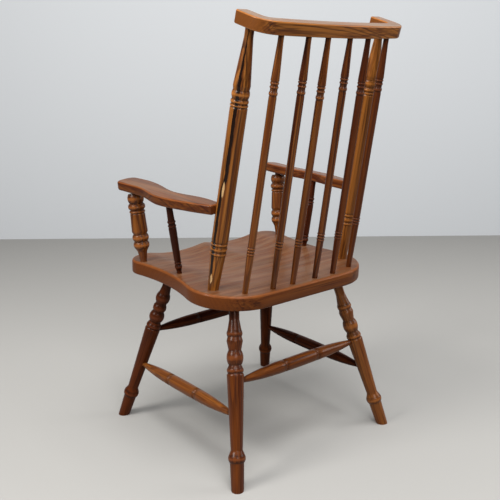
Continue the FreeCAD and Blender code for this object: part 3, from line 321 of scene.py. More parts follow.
def crack_shade_streak(nodes, place, base):
    """The left post's black streak, painted as the shade in a lengthwise crack, with the bare
    splinters beside it.
    """
    local = nodes.add("ShaderNodeMapping", {"Vector": place, "Location": POST_PITH,
                                            "Rotation": Euler((0, 0, STREAK_TURN))},
                      vector_type="TEXTURE")
    ahead, aside, height = nodes.add("ShaderNodeSeparateXYZ",
                                     {"Vector": local.outputs["Vector"]}).outputs
    this_side = nodes.ramp(ahead, 0.004, 0.009)
    ragged = nodes.math("MULTIPLY_ADD", nodes.noise(place, RAGGED_EDGES, 3.0, 2.5),
                        STREAK_RAGGED, -STREAK_RAGGED / 2)
    path = nodes.math("MULTIPLY_ADD", nodes.ramp(height, *STREAK_STEP), 2 * STREAK_ASIDE,
                      -STREAK_ASIDE)
    gap = nodes.math("ABSOLUTE", nodes.math("ADD", nodes.math("SUBTRACT", aside, path), ragged))
    narrow, wide = STREAK_HALF_WIDTH
    width = nodes.math("MULTIPLY_ADD", nodes.ramp(height, *STREAK_TOP), wide - narrow, narrow)
    streak = nodes.ramp(nodes.math("DIVIDE", gap, width), 1.25, 0.85)
    streak = nodes.math("MULTIPLY", streak, nodes.ramp(height, *STREAK_FOOT))
    # The painted crack shade, on the near side of the post.
    base = nodes.blend(nodes.math("MULTIPLY", streak, this_side), base, CRACK_SHADE)
    for middle, reach, across in SPLINTERS:
        up = nodes.math("DIVIDE", nodes.math("SUBTRACT", height, middle), reach)
        out = nodes.math("DIVIDE", nodes.math("ADD", nodes.math("SUBTRACT", aside, across),
                                              ragged), SPLINTER_HALF_WIDTH)
        far = nodes.math("ADD", nodes.math("POWER", up, 2.0), nodes.math("POWER", out, 2.0))
        chip = nodes.math("MULTIPLY", nodes.ramp(far, 1.1, 0.5), this_side)
        base = nodes.blend(chip, base, BARE_PINE)
    return base


def plain(name, value, roughness, bounce=0.3):
    """An even finish for the stage, pale to the eye, that throws back a share of its light."""
    material = bpy.data.materials.new(name)
    material.use_nodes = True
    nodes = Nodes(material.node_tree)
    shader = material.node_tree.nodes["Principled BSDF"]
    path = nodes.add("ShaderNodeLightPath").outputs
    seen = nodes.math("ADD", path["Is Camera Ray"], path["Is Glossy Ray"])
    seen = nodes.math("ADD", seen, path["Is Transmission Ray"], clamp=True)
    dim = opaque([channel * bounce for channel in value])
    nodes.feed(shader.inputs["Base Color"], nodes.blend(seen, dim, opaque(value)))
    shader.inputs["Roughness"].default_value = roughness
    shader.inputs["Specular IOR Level"].default_value = 0.2
    return material


# Building

def facing(direction):
    """The turn that brings Z onto a direction."""
    return Z_AXIS.rotation_difference(direction).to_matrix().to_4x4()


def placed(start, turn):
    return Matrix.Translation(start) @ turn


def lean_about_x(degrees):
    return Matrix.Rotation(math.radians(degrees), 4, "X")


SAWN_FROM, SAWN_TO = 0.45, 0.80  # how far a face leans across the grain
RUBBED_AND_LIT = -0.9  # an edge tone: below zero is rubbed wear painted lighter as a highlight, above it is dirt painted darker as shade


def store(bm, grain_turn, pith, tone, worn_and_sheen=None):
    """Each point's place in the tree; its edge tone (rubbed wear with a painted highlight below
    zero, dirt with painted shade above); its wear with a painted sheen; and how far across the
    grain it is.
    """
    grain = bm.verts.layers.float_vector.new("grain")
    edge_tone = bm.verts.layers.float.new("edge_tone")
    wear_and_sheen = bm.verts.layers.float.new("wear_and_sheen")
    end_grain = bm.verts.layers.float.new("end_grain")
    along = grain_turn.inverted().to_3x3() @ Z_AXIS
    bm.normal_update()
    for vert in bm.verts:
        vert[grain] = grain_turn @ vert.co + pith
        vert[edge_tone] = tone(vert.co)
        vert[wear_and_sheen] = worn_and_sheen(vert.co) if worn_and_sheen else 0.0
        lean = (abs(vert.normal @ along) - SAWN_FROM) / (SAWN_TO - SAWN_FROM)
        vert[end_grain] = min(1.0, max(0.0, lean))


CREASE = math.radians(40)


def finish_piece(bm, name, where, material, node, weighted=False):
    """A bmesh made a piece that stands for a node of the frame."""
    bm.transform(where)
    bmesh.ops.recalc_face_normals(bm, faces=bm.faces)
    mesh = bpy.data.meshes.new(name)
    bm.to_mesh(mesh)
    bm.free()
    for polygon in mesh.polygons:
        polygon.use_smooth = True
    mesh.set_sharp_from_angle(angle=CREASE)
    mesh.materials.append(material)
    piece = bpy.data.objects.new(name, mesh)
    bpy.context.scene.collection.objects.link(piece)
    if weighted:
        bevel_normals = piece.modifiers.new("flat_faces", "WEIGHTED_NORMAL")
        bevel_normals.keep_sharp = True
    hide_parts(node)
    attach(piece, "root")
    return piece


# A turning profile is a list of steps up the piece's axis: a corner of the outline, or the
# crest of a round between two corners, each with its diameter and its height.

def corner(diameter, height):
    return "corner", diameter, height


def crest(diameter, height):
    return "crest", diameter, height


def bead(diameter, edge, width, height):
    """A round ring of a width about a height, with the same diameter at both edges."""
    return [
        corner(edge, height - width / 2),
        crest(diameter, height),
        corner(edge, height + width / 2),
    ]


def circle_through(a, b, c):
    """The centre of the circle through three points of the XZ plane."""
    double = 2 * (a.x * (b.z - c.z) + b.x * (c.z - a.z) + c.x * (a.z - b.z))
    sa, sb, sc = a.length_squared, b.length_squared, c.length_squared
    x = (sa * (b.z - c.z) + sb * (c.z - a.z) + sc * (a.z - b.z)) / double
    z = (sa * (c.x - b.x) + sb * (a.x - c.x) + sc * (b.x - a.x)) / double
    return Vector((x, 0, z))


def extend(bm, last, point):
    """A straight edge from the last vertex to a point."""
    vert = bm.verts.new(point)
    bm.edges.new((last, vert))
    return vert


def sweep(bm, last, centre, axis, angle, steps):
    """An arc from the last vertex about a centre."""
    made = bmesh.ops.spin(bm, geom=[last], cent=centre, axis=axis, angle=angle, steps=steps,
                          use_merge=False, use_duplicate=False)
    return [part for part in made["geom_last"] if isinstance(part, bmesh.types.BMVert)][0]


NEAR_CORNER = 2.2  # a loop's distance from the end of a long run, and a groove's reach
LONGEST_ROUND = 40  # a round longer than this swells, and isn't a bead


def half_outline(bm, profile):
    """Half the profile as a chain of edges, with a loop close to each end of a long run."""
    def point(step):
        return Vector((step[1] / 2, 0, step[2])) * MM

    last = bm.verts.new(point(profile[0]))
    top = None
    for step in profile[1:]:
        if step[0] == "crest":
            top = step
            continue
        target = point(step)
        if top is None:
            run = target - last.co
            if run.length > 3 * NEAR_CORNER * MM:
                near = run.normalized() * NEAR_CORNER * MM
                last = extend(bm, last, last.co + near)
                last = extend(bm, last, target - near)
            last = extend(bm, last, target)
        else:
            centre = circle_through(last.co, point(top), target)
            first, final = last.co - centre, target - centre
            last = sweep(bm, last, centre, first.cross(final), first.angle(final),
                         shape().round_steps)
            top = None


def tones(profile):
    """How light or dark a turning is painted at each height: dirt with painted shade in grooves and
    at bead edges, rubbed wear with a painted highlight on beads.
    """
    rounds = []
    grooves = []
    for index, step in enumerate(profile):
        if step[0] == "crest":
            low, high = profile[index - 1][2], profile[index + 1][2]
            if high - low < LONGEST_ROUND:
                rounds.append((low, high))
        if step[0] == "corner" and "crest" in (profile[index - 1][0],
                                               profile[(index + 1) % len(profile)][0]):
            grooves.append(step[2])

    def tone(point):
        height = point.z / MM
        for low, high in rounds:
            if low < height < high:
                share = (height - low) / (high - low)
                return math.cos(math.tau * share)
        nearest = min([abs(height - groove) for groove in grooves] or [99])
        return max(0.0, 1 - nearest / NEAR_CORNER)

    return tone


def turned(name, profile, start, direction, material, pith, level=False):
    """A turned piece, spun from half its outline; level cuts its foot flat at the floor."""
    bm = bmesh.new()
    half_outline(bm, profile)
    bmesh.ops.spin(bm, geom=bm.verts[:] + bm.edges[:], cent=(0, 0, 0), axis=Z_AXIS,
                   angle=math.tau, steps=shape().turning_steps, use_merge=True,
                   use_duplicate=False)
    bmesh.ops.remove_doubles(bm, verts=bm.verts, dist=MERGE)
    bmesh.ops.holes_fill(bm, edges=bm.edges)
    store(bm, Matrix.Identity(4), Vector(pith), tones(profile))
    where = placed(start * MM, facing(direction))
    if level:
        floor = where.inverted()
        bmesh.ops.bisect_plane(bm, geom=bm.verts[:] + bm.edges[:] + bm.faces[:], dist=0.000001,
                               plane_co=floor @ Vector((0, 0, 0)),
                               plane_no=floor.to_3x3() @ Z_AXIS, clear_inner=True)
        bmesh.ops.holes_fill(bm, edges=bm.edges)
    return finish_piece(bm, name + "_turning", where, material, name)


# Where things meet

SEAT_RAKE = 2.85
SEAT_THICKNESS = 35.0
RAIL_TILT = 17.0
SEAT_TURN = lean_about_x(-SEAT_RAKE)
SEAT_UP = SEAT_TURN.to_3x3() @ Z_AXIS
SEAT_TOP = Vector((0, 0, 444.6))
SEAT_UNDERSIDE = SEAT_TOP - SEAT_UP * SEAT_THICKNESS
RAIL_TURN = lean_about_x(-RAIL_TILT)
RAIL_UP = RAIL_TURN.to_3x3() @ Z_AXIS
RAIL_UNDERSIDE = Vector((0, 266.9, 989.0))
ARM_THICKNESS = 23.0
ARM_MIDDLE = 235.0
ARM_HEIGHT = 624.2


def on_plane(point, direction, plane_point, normal):
    """Where a line crosses a plane."""
    return intersect_line_plane(point, point + direction, plane_point, normal)


def height_on(plane_point, normal, x, y):
    """The point of a plane above a place on the floor."""
    return on_plane(Vector((x, y, 0)), Z_AXIS, plane_point, normal)


def arm_base(side):
    return Vector((side * ARM_MIDDLE, 0, ARM_HEIGHT))


def arm_turn(side):
    """Down towards the back, and down towards the outer edge."""
    return lean_about_x(-3.07) @ Matrix.Rotation(math.radians(side * 6.4), 4, "Y")


# Seat

WAIST = Vector((231.1 + 420.0, -76.1, 0))
WAIST_RADIUS = 420.0
FRONT_RADIUS = 44.6
REAR_RADIUS = 122.0
SEAT_FRONT = -239.1
SEAT_REAR = 187.9
SEAT_ROUND = 6.5
SEAT_LOW_ROUND = 3.0
SEAT_REACH = ((X_AXIS, 0.27), (Y_AXIS, 0.25))
DIP_START, DIP_WHOLE = -0.030, -0.007  # metres from the top where the hollows begin
HOLLOWS = (
    # across, along, half width, half length, depth
    (90.0, -186.1, 88.0, 300.0, "thigh_depth"),
    (-90.0, -186.1, 88.0, 300.0, "thigh_depth"),
    (0.0, -6.1, 185.0, 135.0, "bowl_depth"),
)


def seat_outline(bm):
    """The bell-shaped plan as one closed chain of edges."""
    front_y = SEAT_FRONT + FRONT_RADIUS
    rear_y = SEAT_REAR - REAR_RADIUS
    front_x = WAIST.x - math.sqrt((WAIST_RADIUS + FRONT_RADIUS) ** 2 - (WAIST.y - front_y) ** 2)
    rear_x = WAIST.x - math.sqrt((WAIST_RADIUS + REAR_RADIUS) ** 2 - (WAIST.y - rear_y) ** 2)
    low = math.atan2(front_y - WAIST.y, front_x - WAIST.x) % math.tau
    high = math.atan2(rear_y - WAIST.y, rear_x - WAIST.x) % math.tau
    front = Vector((front_x, front_y, 0))
    rear = Vector((rear_x, rear_y, 0))

    arcs = (
        (front, low - math.pi / 2, 14),
        (WAIST, high - low, 26),
        (rear, 3 * math.pi / 2 - high, 24),
    )
    first = bm.verts.new(Vector((-front_x, SEAT_FRONT, 0)) * MM)
    last = extend(bm, first, Vector((front_x, SEAT_FRONT, 0)) * MM)
    for centre, angle, steps in arcs:
        last = sweep(bm, last, centre * MM, Z_AXIS, angle, steps)
    last = extend(bm, last, Vector((-rear_x, SEAT_REAR, 0)) * MM)
    for centre, angle, steps in reversed(arcs):
        mirrored = Vector((-centre.x, centre.y, 0))
        last = sweep(bm, last, mirrored * MM, Z_AXIS, angle, steps)
    bmesh.ops.remove_doubles(bm, verts=[first, last], dist=0.0005)


def board(bm, thickness):
    """A closed outline filled and raised to a board; returns its two big faces."""
    made = bmesh.ops.contextual_create(bm, geom=bm.edges[:])
    base = made["faces"][0]
    raised = bmesh.ops.extrude_face_region(bm, geom=[base], use_keep_orig=True)
    verts = [part for part in raised["geom"] if isinstance(part, bmesh.types.BMVert)]
    top = [part for part in raised["geom"] if isinstance(part, bmesh.types.BMFace)][0]
    bmesh.ops.translate(bm, verts=verts, vec=(0, 0, thickness * MM))
    return base, top


def rounded(bm, edges, radius, segments):
    bmesh.ops.bevel(bm, geom=edges, offset=radius * MM, offset_type="OFFSET", affect="EDGES",
                    segments=segments, profile=0.5, material=-1, clamp_overlap=False)


def dip(x, y):
    """How far the seat's top is hollowed at a place, in metres, with the hollows run together."""
    ease, blend = 0.02, 4
    total = 0.0
    for across, along, half_width, half_length, depth in HOLLOWS:
        share = 1 - ((x / MM - across) / half_width) ** 2 - ((y / MM - along) / half_length) ** 2
        eased = (share + math.sqrt(share * share + ease)) / 2
        total += (getattr(shape(), depth) * eased) ** blend
    return total ** (1 / blend)


class CHAIR_OT_seat(bpy.types.Operator):
    """Make the saddled seat from one wide plank"""

    bl_idname = "chair.seat"
    bl_label = "Seat"

    def execute(self, context):
        paint = colours()
        bm = bmesh.new()
        seat_outline(bm)
        base, top = board(bm, SEAT_THICKNESS)
        bmesh.ops.translate(bm, verts=bm.verts, vec=(0, 0, -SEAT_THICKNESS * MM))
        edges = list(top.edges)
        low_edges = list(base.edges)
        rounded(bm, edges, SEAT_ROUND, 6)
        rounded(bm, [edge for edge in low_edges if edge.is_valid], SEAT_LOW_ROUND, 3)
        step = shape().grid_step
        for axis, reach in SEAT_REACH:
            for index in range(-int(reach / step), int(reach / step) + 1):
                bmesh.ops.bisect_plane(bm, geom=bm.verts[:] + bm.edges[:] + bm.faces[:],
                                       plane_co=axis * index * step, plane_no=axis, dist=MERGE)
        for vert in bm.verts:
            share = (vert.co.z - DIP_START) / (DIP_WHOLE - DIP_START)
            share = min(1.0, max(0.0, share))
            vert.co.z -= dip(vert.co.x, vert.co.y) * share * share * (3 - 2 * share)

        def below_top(point):
            return -point.z - dip(point.x, point.y)

        # A band along the seat's rounded top edge: rubbed wear with a painted highlight.
        def tone(point):
            return RUBBED_AND_LIT if 0.0008 < below_top(point) < 0.006 else 0.0

        # The seat's top face: worn varnish and a painted sheen.
        def worn_and_sheen(point):
            return 0.6 if below_top(point) < 0.0012 else 0.0

        store(bm, Matrix.Rotation(math.pi / 2, 4, "Y"), Vector((0.09, 0.02, 0)), tone, worn_and_sheen)
        finish_piece(bm, "seat_plank", placed(SEAT_TOP * MM, SEAT_TURN),
                     wood("seat_pine", paint.amber, paint.russet, spacing=0.0080, contrast=0.55,
                          gloss=0.42, shine=0.10, coat=0.12),
                     "seat")
        return {"FINISHED"}


# Legs

LEG_END = 25.0
LEG_TENON = 22.0

FOOT = [
    corner(28.5, -12.0),
    corner(33.0, 62.0),
    *bead(40.5, 36.0, 16.0, 72.0),
    corner(28.0, 90.0),
]

FRONT_LEG = FOOT + [
    corner(40.0, 275.5),
    *bead(39.0, 34.5, 12.0, 285.5),
    *bead(39.5, 29.0, 30.0, 313.5),
    *bead(35.5, 29.0, 20.0, 340.0),
    *bead(37.5, 29.0, 28.0, 369.0),
    corner(24.0, 400.0),
]


def rear_leg(drop):
    """A rear leg's profile above its foot, with its rings a little lower by a drop."""
    return FOOT + [
        corner(40.0, 260.0 - drop),
        *bead(39.0, 34.5, 12.0, 270.0 - drop),
        *bead(39.0, 29.5, 34.0, 299.0 - drop),
        corner(38.0, 337.0 - drop),
        *bead(37.0, 33.0, 14.0, 354.0 - drop),
        corner(24.0, 386.0 - drop),
    ]


def leg_line(row, side):
    """A leg's foot on the floor and the middle of its socket's mouth in the seat."""
    if row == "front":
        foot = Vector((side * 257.1, -274.65, 0))
        return foot, height_on(SEAT_UNDERSIDE, SEAT_UP, side * 163.6, -152.5)
    foot = Vector((side * 247.5, 219.9, 0))
    return foot, height_on(SEAT_UNDERSIDE, SEAT_UP, side * 165.5, 110.8)


def leg_at(row, side, height):
    foot, top = leg_line(row, side)
    return foot + (top - foot) * (height / top.z)


class CHAIR_OT_legs(bpy.types.Operator):
    """Turn the four splayed legs"""

    bl_idname = "chair.legs"
    bl_label = "Legs"

    def execute(self, context):
        paint = colours()
        red = wood("leg_pine_red", paint.red, paint.red, contrast=0.5, shine=0.05, coat=0.12)
        dark = wood("leg_pine_dark", paint.red, paint.late, contrast=0.5, shine=0.03, coat=0.05)
        brown = wood("leg_pine_brown", paint.russet, paint.red, contrast=0.5, shine=0.10)
        gold = wood("leg_pine_gold", paint.honey, paint.amber, contrast=0.5)
        rows = (
            ("leg_front_left", "front", 1, FRONT_LEG, red, (0.055, 0.02, 0.3)),
            ("leg_front_right", "front", -1, FRONT_LEG, dark, (0.03, 0.06, 1.1)),
            ("leg_rear_left", "rear", 1, rear_leg(0), brown, (0.06, 0.03, 2.0)),
            ("leg_rear_right", "rear", -1, rear_leg(14.0), gold, (0.05, -0.04, 2.9)),
        )
        for name, row, side, profile, material, pith in rows:
            foot, top = leg_line(row, side)
            length = (top - foot).length
            outline = profile + [corner(LEG_END, length), corner(LEG_END, length + LEG_TENON)]
            turned(name, outline, foot, top - foot, material, pith, level=True)
        return {"FINISHED"}


# Stretchers

STRETCHER_HALF = [
    corner(12.0, 4.5),
    corner(12.0, 20.0),
    crest(24.0, 72.0),
    corner(30.0, 145.5),
    corner(27.0, 148.0),
    corner(30.0, 150.5),
]
STRETCHER_MIDDLE = 31.0


class CHAIR_OT_stretchers(bpy.types.Operator):
    """Turn the four stretchers between the legs"""

    bl_idname = "chair.stretchers"
    bl_label = "Stretchers"

    def execute(self, context):
        paint = colours()
        gold = wood("stretcher_pine_gold", paint.honey, paint.amber, contrast=0.35)
        brown = wood("stretcher_pine_brown", paint.amber, paint.russet, contrast=0.45, shine=0.08)
        red = wood("stretcher_pine_red", paint.red, paint.late, contrast=0.6, shine=0.03, coat=0.05)
        rows = (
            ("stretcher_left", ("front", 1), ("rear", 1), 157.0, gold, (0.05, 0.02, 0.1)),
            ("stretcher_right", ("front", -1), ("rear", -1), 154.5, red, (0.02, 0.06, 0.9)),
            ("stretcher_front", ("front", 1), ("front", -1), 253.0, red, (0.06, 0.03, 1.7)),
            ("stretcher_back", ("rear", 1), ("rear", -1), 229.0, brown, (0.05, 0.05, 2.5)),
        )
        for name, first, second, height, material, pith in rows:
            start, finish = leg_at(*first, height), leg_at(*second, height)
            span = (finish - start).length
            mirrored = [(kind, diameter, span - along)
                        for kind, diameter, along in reversed(STRETCHER_HALF)]
            outline = STRETCHER_HALF + [crest(STRETCHER_MIDDLE, span / 2)] + mirrored
            turned(name, outline, start, finish - start, material, pith)
        return {"FINISHED"}


# Back

RAIL_TENON = 16.0
POST_TOP, POST_NECK = 19.0, 20.0  # a diameter, and how far below the rail its taper ends
SPINDLE_TOP, SPINDLE_NECK = 12.0, 14.0
POST_LEAN = 11.77
POST_CONVERGE = 1.83
SPINDLE_RISE = 550.0
SPINDLE_LINES = {
    # across and back at the seat, and the same a rise above it
    "outer": (168.9, 156.1, 156.6, 261.8),
    "middle": (97.4, 169.7, 88.8, 269.3),
    "inner": (36.1, 170.0, 32.6, 268.9),
}


def post_outline(low, high):
    """A back post: three low rings, a long shaft, three high rings and a taper."""
    ring = (38.4, 34.5)
    return [
        corner(26.0, -26.0),
        corner(26.0, 8.0),
        corner(34.5, low - 18.5),
        *bead(*ring, 7.0, low - 11.5),
        *bead(*ring, 12.0, low),
        *bead(*ring, 7.0, low + 11.5),
        corner(37.6, low + 18.5),
        corner(37.6, high - 29.5),
        *bead(*ring, 6.0, high - 23.5),
        *bead(*ring, 9.0, high - 15.0),
        *bead(*ring, 17.0, high),
        corner(37.0, high + 17.0),
    ]


def spindle_outline(low, high):
    """A back spindle, with its rings at its own heights."""
    ring = (18.6, 15.6, 5.0)
    return [
        corner(13.0, -20.0),
        corner(13.0, 8.0),
        corner(16.8, low - 12.0),
        *bead(*ring, low - 7.0),
        *bead(*ring, low),
        *bead(*ring, low + 7.0),
        corner(16.8, low + 12.0),
        corner(16.8, high - 9.0),
        *bead(18.6, 15.6, 9.0, high),
        *bead(*ring, high + 13.0),
        *bead(*ring, high + 21.0),
        corner(18.2, high + 26.0),
    ]


def post_line(side):
    """Where a back post leaves the seat, and its direction."""
    lean = math.tan(math.radians(POST_LEAN))
    converge = math.tan(math.radians(POST_CONVERGE))
    return (height_on(SEAT_TOP, SEAT_UP, side * 210.7, 92.3),
            Vector((-side * converge, lean, 1)).normalized())


def upright(name, outline, start, direction, end, neck, material, pith):
    """A turned piece of the back, from the seat to the crest rail."""
    length = (on_plane(start, direction, RAIL_UNDERSIDE, RAIL_UP) - start).length
    outline = outline + [corner(end, length - neck), corner(end, length + RAIL_TENON)]
    turned(name, outline, start, direction, material, pith)


class CHAIR_OT_back_posts(bpy.types.Operator):
    """Turn the two thick posts of the back"""

    bl_idname = "chair.back_posts"
    bl_label = "Back posts"

    def execute(self, context):
        paint = colours()
        gold = wood("post_pine_gold", paint.gold, paint.amber, 0.0060, 0.7, mark=crack_shade_streak)
        amber = wood("post_pine_amber", paint.gold, paint.honey, 0.0060, 0.5)
        for name, side, low, high, material, pith in (
                ("back_post_left", 1, 102.5, 446.0, gold, POST_PITH),
                ("back_post_right", -1, 113.5, 461.0, amber, (0.05, -0.03, 1.3))):
            start, direction = post_line(side)
            upright(name, post_outline(low, high), start, direction, POST_TOP, POST_NECK,
                    material, pith)
        return {"FINISHED"}


class CHAIR_OT_back_spindles(bpy.types.Operator):
    """Turn the six thin spindles of the back"""

    bl_idname = "chair.back_spindles"
    bl_label = "Back spindles"

    def execute(self, context):
        paint = colours()
        gold = wood("spindle_pine_gold", paint.honey, paint.red, 0.0055, 0.9)
        warm = wood("spindle_pine_warm", paint.honey, paint.russet, 0.0055, 0.8)
        amber = wood("spindle_pine_amber", paint.amber, paint.red, 0.0055, 0.9)
        red = wood("spindle_pine_red", paint.russet, paint.red, 0.0055, 0.8, coat=0.12)
        rows = (
            (1, 1, "outer", 103.0, 448.5, warm, (0.04, 0.03, 0.2)),
            (2, 1, "middle", 109.0, 448.5, gold, (0.05, 0.01, 1.2)),
            (3, 1, "inner", 104.0, 436.0, warm, (0.02, 0.05, 2.2)),
            (4, -1, "inner", 107.0, 453.0, amber, (0.06, 0.02, 3.2)),
            (5, -1, "middle", 102.0, 443.0, red, (0.03, 0.04, 4.2)),
            (6, -1, "outer", 125.0, 449.0, red, (0.05, 0.03, 5.2)),
        )
        for number, side, line, low, high, material, pith in rows:
            across, back, top_across, top_back = SPINDLE_LINES[line]
            start = height_on(SEAT_TOP, SEAT_UP, side * across, back)
            direction = Vector((side * (top_across - across), top_back - back, SPINDLE_RISE))
            upright("back_spindle_%d" % number, spindle_outline(low, high), start,
                    direction.normalized(), SPINDLE_TOP, SPINDLE_NECK, material, pith)
        return {"FINISHED"}


# Crest rail

RAIL_HEIGHT = 27.5
RAIL_HALF_THICKNESS = 16.5
RAIL_REACH = -89.0
RAIL_HALF_SPAN = 198.0
RAIL_BOW = 1500.0
RAIL_BEND = 30.0
RAIL_TIP_ROUND = 7.0
RAIL_ROUND = 3.5
RAIL_GRAIN_TURN = math.radians(3.5)


def rail_outline(bm):
    """The bowed plan with its ends turned forward, as one closed chain of edges."""
    turn_x = RAIL_HALF_SPAN - RAIL_BEND
    turn_y = math.sqrt((RAIL_BOW - RAIL_BEND) ** 2 - turn_x ** 2) - RAIL_BOW
    meet = math.atan2(turn_y + RAIL_BOW, turn_x)
    left = Vector((turn_x, turn_y, 0)) * MM
    right = Vector((-turn_x, turn_y, 0)) * MM
    centre = Vector((0, -RAIL_BOW, 0)) * MM
    outer = RAIL_HALF_SPAN + RAIL_HALF_THICKNESS
    inner = RAIL_HALF_SPAN - RAIL_HALF_THICKNESS
    first = bm.verts.new(Vector((outer, RAIL_REACH, 0)) * MM)
    last = extend(bm, first, Vector((outer, turn_y, 0)) * MM)
    last = sweep(bm, last, left, Z_AXIS, meet, 14)
    last = sweep(bm, last, centre, Z_AXIS, math.pi - 2 * meet, 40)
    last = sweep(bm, last, right, Z_AXIS, meet, 14)
    last = extend(bm, last, Vector((-outer, RAIL_REACH, 0)) * MM)
    last = extend(bm, last, Vector((-inner, RAIL_REACH, 0)) * MM)
    last = extend(bm, last, Vector((-inner, turn_y, 0)) * MM)
    last = sweep(bm, last, right, Z_AXIS, -meet, 14)
    last = sweep(bm, last, centre, Z_AXIS, 2 * meet - math.pi, 40)
    last = sweep(bm, last, left, Z_AXIS, -meet, 14)
    last = extend(bm, last, Vector((inner, RAIL_REACH, 0)) * MM)
    bm.edges.new((last, first))


def flat_edges(bm):
    """The edges round a board's top and bottom."""
    return [edge for edge in bm.edges
            if abs(edge.verts[0].co.z - edge.verts[1].co.z) < MERGE
            and len(edge.link_faces) == 2
            and any(abs(face.normal.z) > 0.9 for face in edge.link_faces)
            and any(abs(face.normal.z) < 0.1 for face in edge.link_faces)]


def upright_edges(bm, y):
    """The corners of a board that stand at its end."""
    return [edge for edge in bm.edges
            if abs(edge.verts[0].co.z - edge.verts[1].co.z) > MERGE
            and all(abs(vert.co.y - y * MM) < MERGE for vert in edge.verts)]


def worn_and_sheen_above(height, amount):
    """Worn, with a painted sheen, on a board's top face."""
    def worn_and_sheen(point):
        return amount if point.z > (height - 0.4) * MM else 0.0
    return worn_and_sheen


def rub_and_highlight_near(height):
    """Rubbed wear, painted lighter as a highlight, along a board's long edges."""
    def tone(point):
        level = min(abs(point.z), abs(point.z - height * MM))
        return RUBBED_AND_LIT if 0.0004 < level < 0.0032 else 0.0
    return tone


class CHAIR_OT_crest_rail(bpy.types.Operator):
    """Saw and round the bowed crest rail"""

    bl_idname = "chair.crest_rail"
    bl_label = "Crest rail"

    def execute(self, context):
        paint = colours()
        bm = bmesh.new()
        rail_outline(bm)
        board(bm, RAIL_HEIGHT)
        bmesh.ops.recalc_face_normals(bm, faces=bm.faces)
        rounded(bm, upright_edges(bm, RAIL_REACH), RAIL_TIP_ROUND, 6)
        bm.normal_update()
        rounded(bm, flat_edges(bm), RAIL_ROUND, 4)
        # Its top gets a strong painted sheen (1.9) as well as wear.
        store(bm, Matrix.Rotation(math.pi / 2, 4, "Y") @ Matrix.Rotation(RAIL_GRAIN_TURN, 4, "Z"),
              Vector((-0.09, 0.136, 0)),
              rub_and_highlight_near(RAIL_HEIGHT), worn_and_sheen_above(RAIL_HEIGHT, 1.9))
        finish_piece(bm, "crest_rail_board", placed(RAIL_UNDERSIDE * MM, RAIL_TURN),
                     wood("crest_pine", paint.gold, paint.amber, spacing=0.0050, gloss=0.36,
                          shine=0.15),
                     "crest_rail", weighted=True)
        return {"FINISHED"}


# Arms

ARM_TIP_ROUND = 18.0
ARM_ROUND = 5.0
STATIONS = (
    # along, inner edge, outer edge
    (-238.1, 213.0, 266.0),
    (-176.1, 204.5, 260.5),
    (-126.1, 206.5, 258.0),
    (-36.1, 219.5, 271.0),
    (58.9, 203.5, 252.0),
    (121.9, 203.0, 233.0),
)


def wavy_line(points):
    """Points of a smooth curve through the given ones."""
    slopes = []
    for index, point in enumerate(points):
        before = points[max(index - 1, 0)]
        after = points[min(index + 1, len(points) - 1)]
        slopes.append((after - before) / (after.y - before.y))
    line = []
    for index in range(len(points) - 1):
        start, finish = points[index], points[index + 1]
        third = (finish.y - start.y) / 3
        made = interpolate_bezier(start, start + slopes[index] * third,
                                  finish - slopes[index + 1] * third, finish,
                                  4 if index == 0 else 10)
        line += made[1:] if line else made
    return line


def arm_outline(bm, side):
    """The wavy plan through six widths, as one closed chain of edges."""
    edges = []
    for column in (1, 2):
        points = [Vector((side * (row[column] - ARM_MIDDLE), row[0], 0)) * MM for row in STATIONS]
        edges.append(wavy_line(points))
    loop = edges[0] + edges[1][::-1]
    verts = [bm.verts.new(point) for point in loop]
    for first, second in zip(verts, verts[1:] + verts[:1]):
        bm.edges.new((first, second))


class CHAIR_OT_arms(bpy.types.Operator):
    """Saw and round the two wavy arms"""

    bl_idname = "chair.arms"
    bl_label = "Arms"

    def execute(self, context):
        paint = colours()
        material = wood("arm_pine", paint.amber, paint.red, spacing=0.0065, contrast=0.7,
                        gloss=0.42, shine=0.08)
        for name, side in SIDES:
            bm = bmesh.new()
            arm_outline(bm, side)
            board(bm, ARM_THICKNESS)
            bmesh.ops.recalc_face_normals(bm, faces=bm.faces)
            rounded(bm, upright_edges(bm, STATIONS[0][0]), ARM_TIP_ROUND, 8)
            bm.normal_update()
            rounded(bm, flat_edges(bm), ARM_ROUND, 5)
            # Its top gets a light painted sheen as well as wear.
            store(bm, Matrix.Rotation(math.pi / 2, 4, "X"), Vector((0.07, 0.05 * side, side)),
                  rub_and_highlight_near(ARM_THICKNESS), worn_and_sheen_above(ARM_THICKNESS, 0.5))
            finish_piece(bm, "arm_%s_board" % name, placed(arm_base(side) * MM, arm_turn(side)),
                         material, "arm_" + name, weighted=True)
        return {"FINISHED"}


# Arm turnings

ARM_TENON = 15.0

ARM_POST = [
    corner(17.0, -22.0),
    corner(17.0, 4.0),
    corner(24.0, 26.0),
    *bead(40.0, 34.0, 17.0, 43.5),
    *bead(41.5, 34.0, 18.0, 62.5),
    corner(40.0, 78.0),
    corner(37.0, 123.0),
    *bead(39.5, 34.0, 7.0, 128.5),
    *bead(43.0, 34.0, 16.0, 141.5),
    *bead(41.0, 34.0, 23.0, 162.0),
]

ARM_SPINDLE = [
    corner(12.0, -20.0),
    corner(12.0, 5.0),
    *bead(18.0, 14.0, 11.0, 17.0),
    *bead(17.5, 14.0, 6.0, 27.0),
    corner(16.5, 33.0),
    corner(19.0, 115.6),
    *bead(20.0, 16.5, 6.0, 121.6),
    *bead(20.0, 16.5, 6.0, 131.6),
]


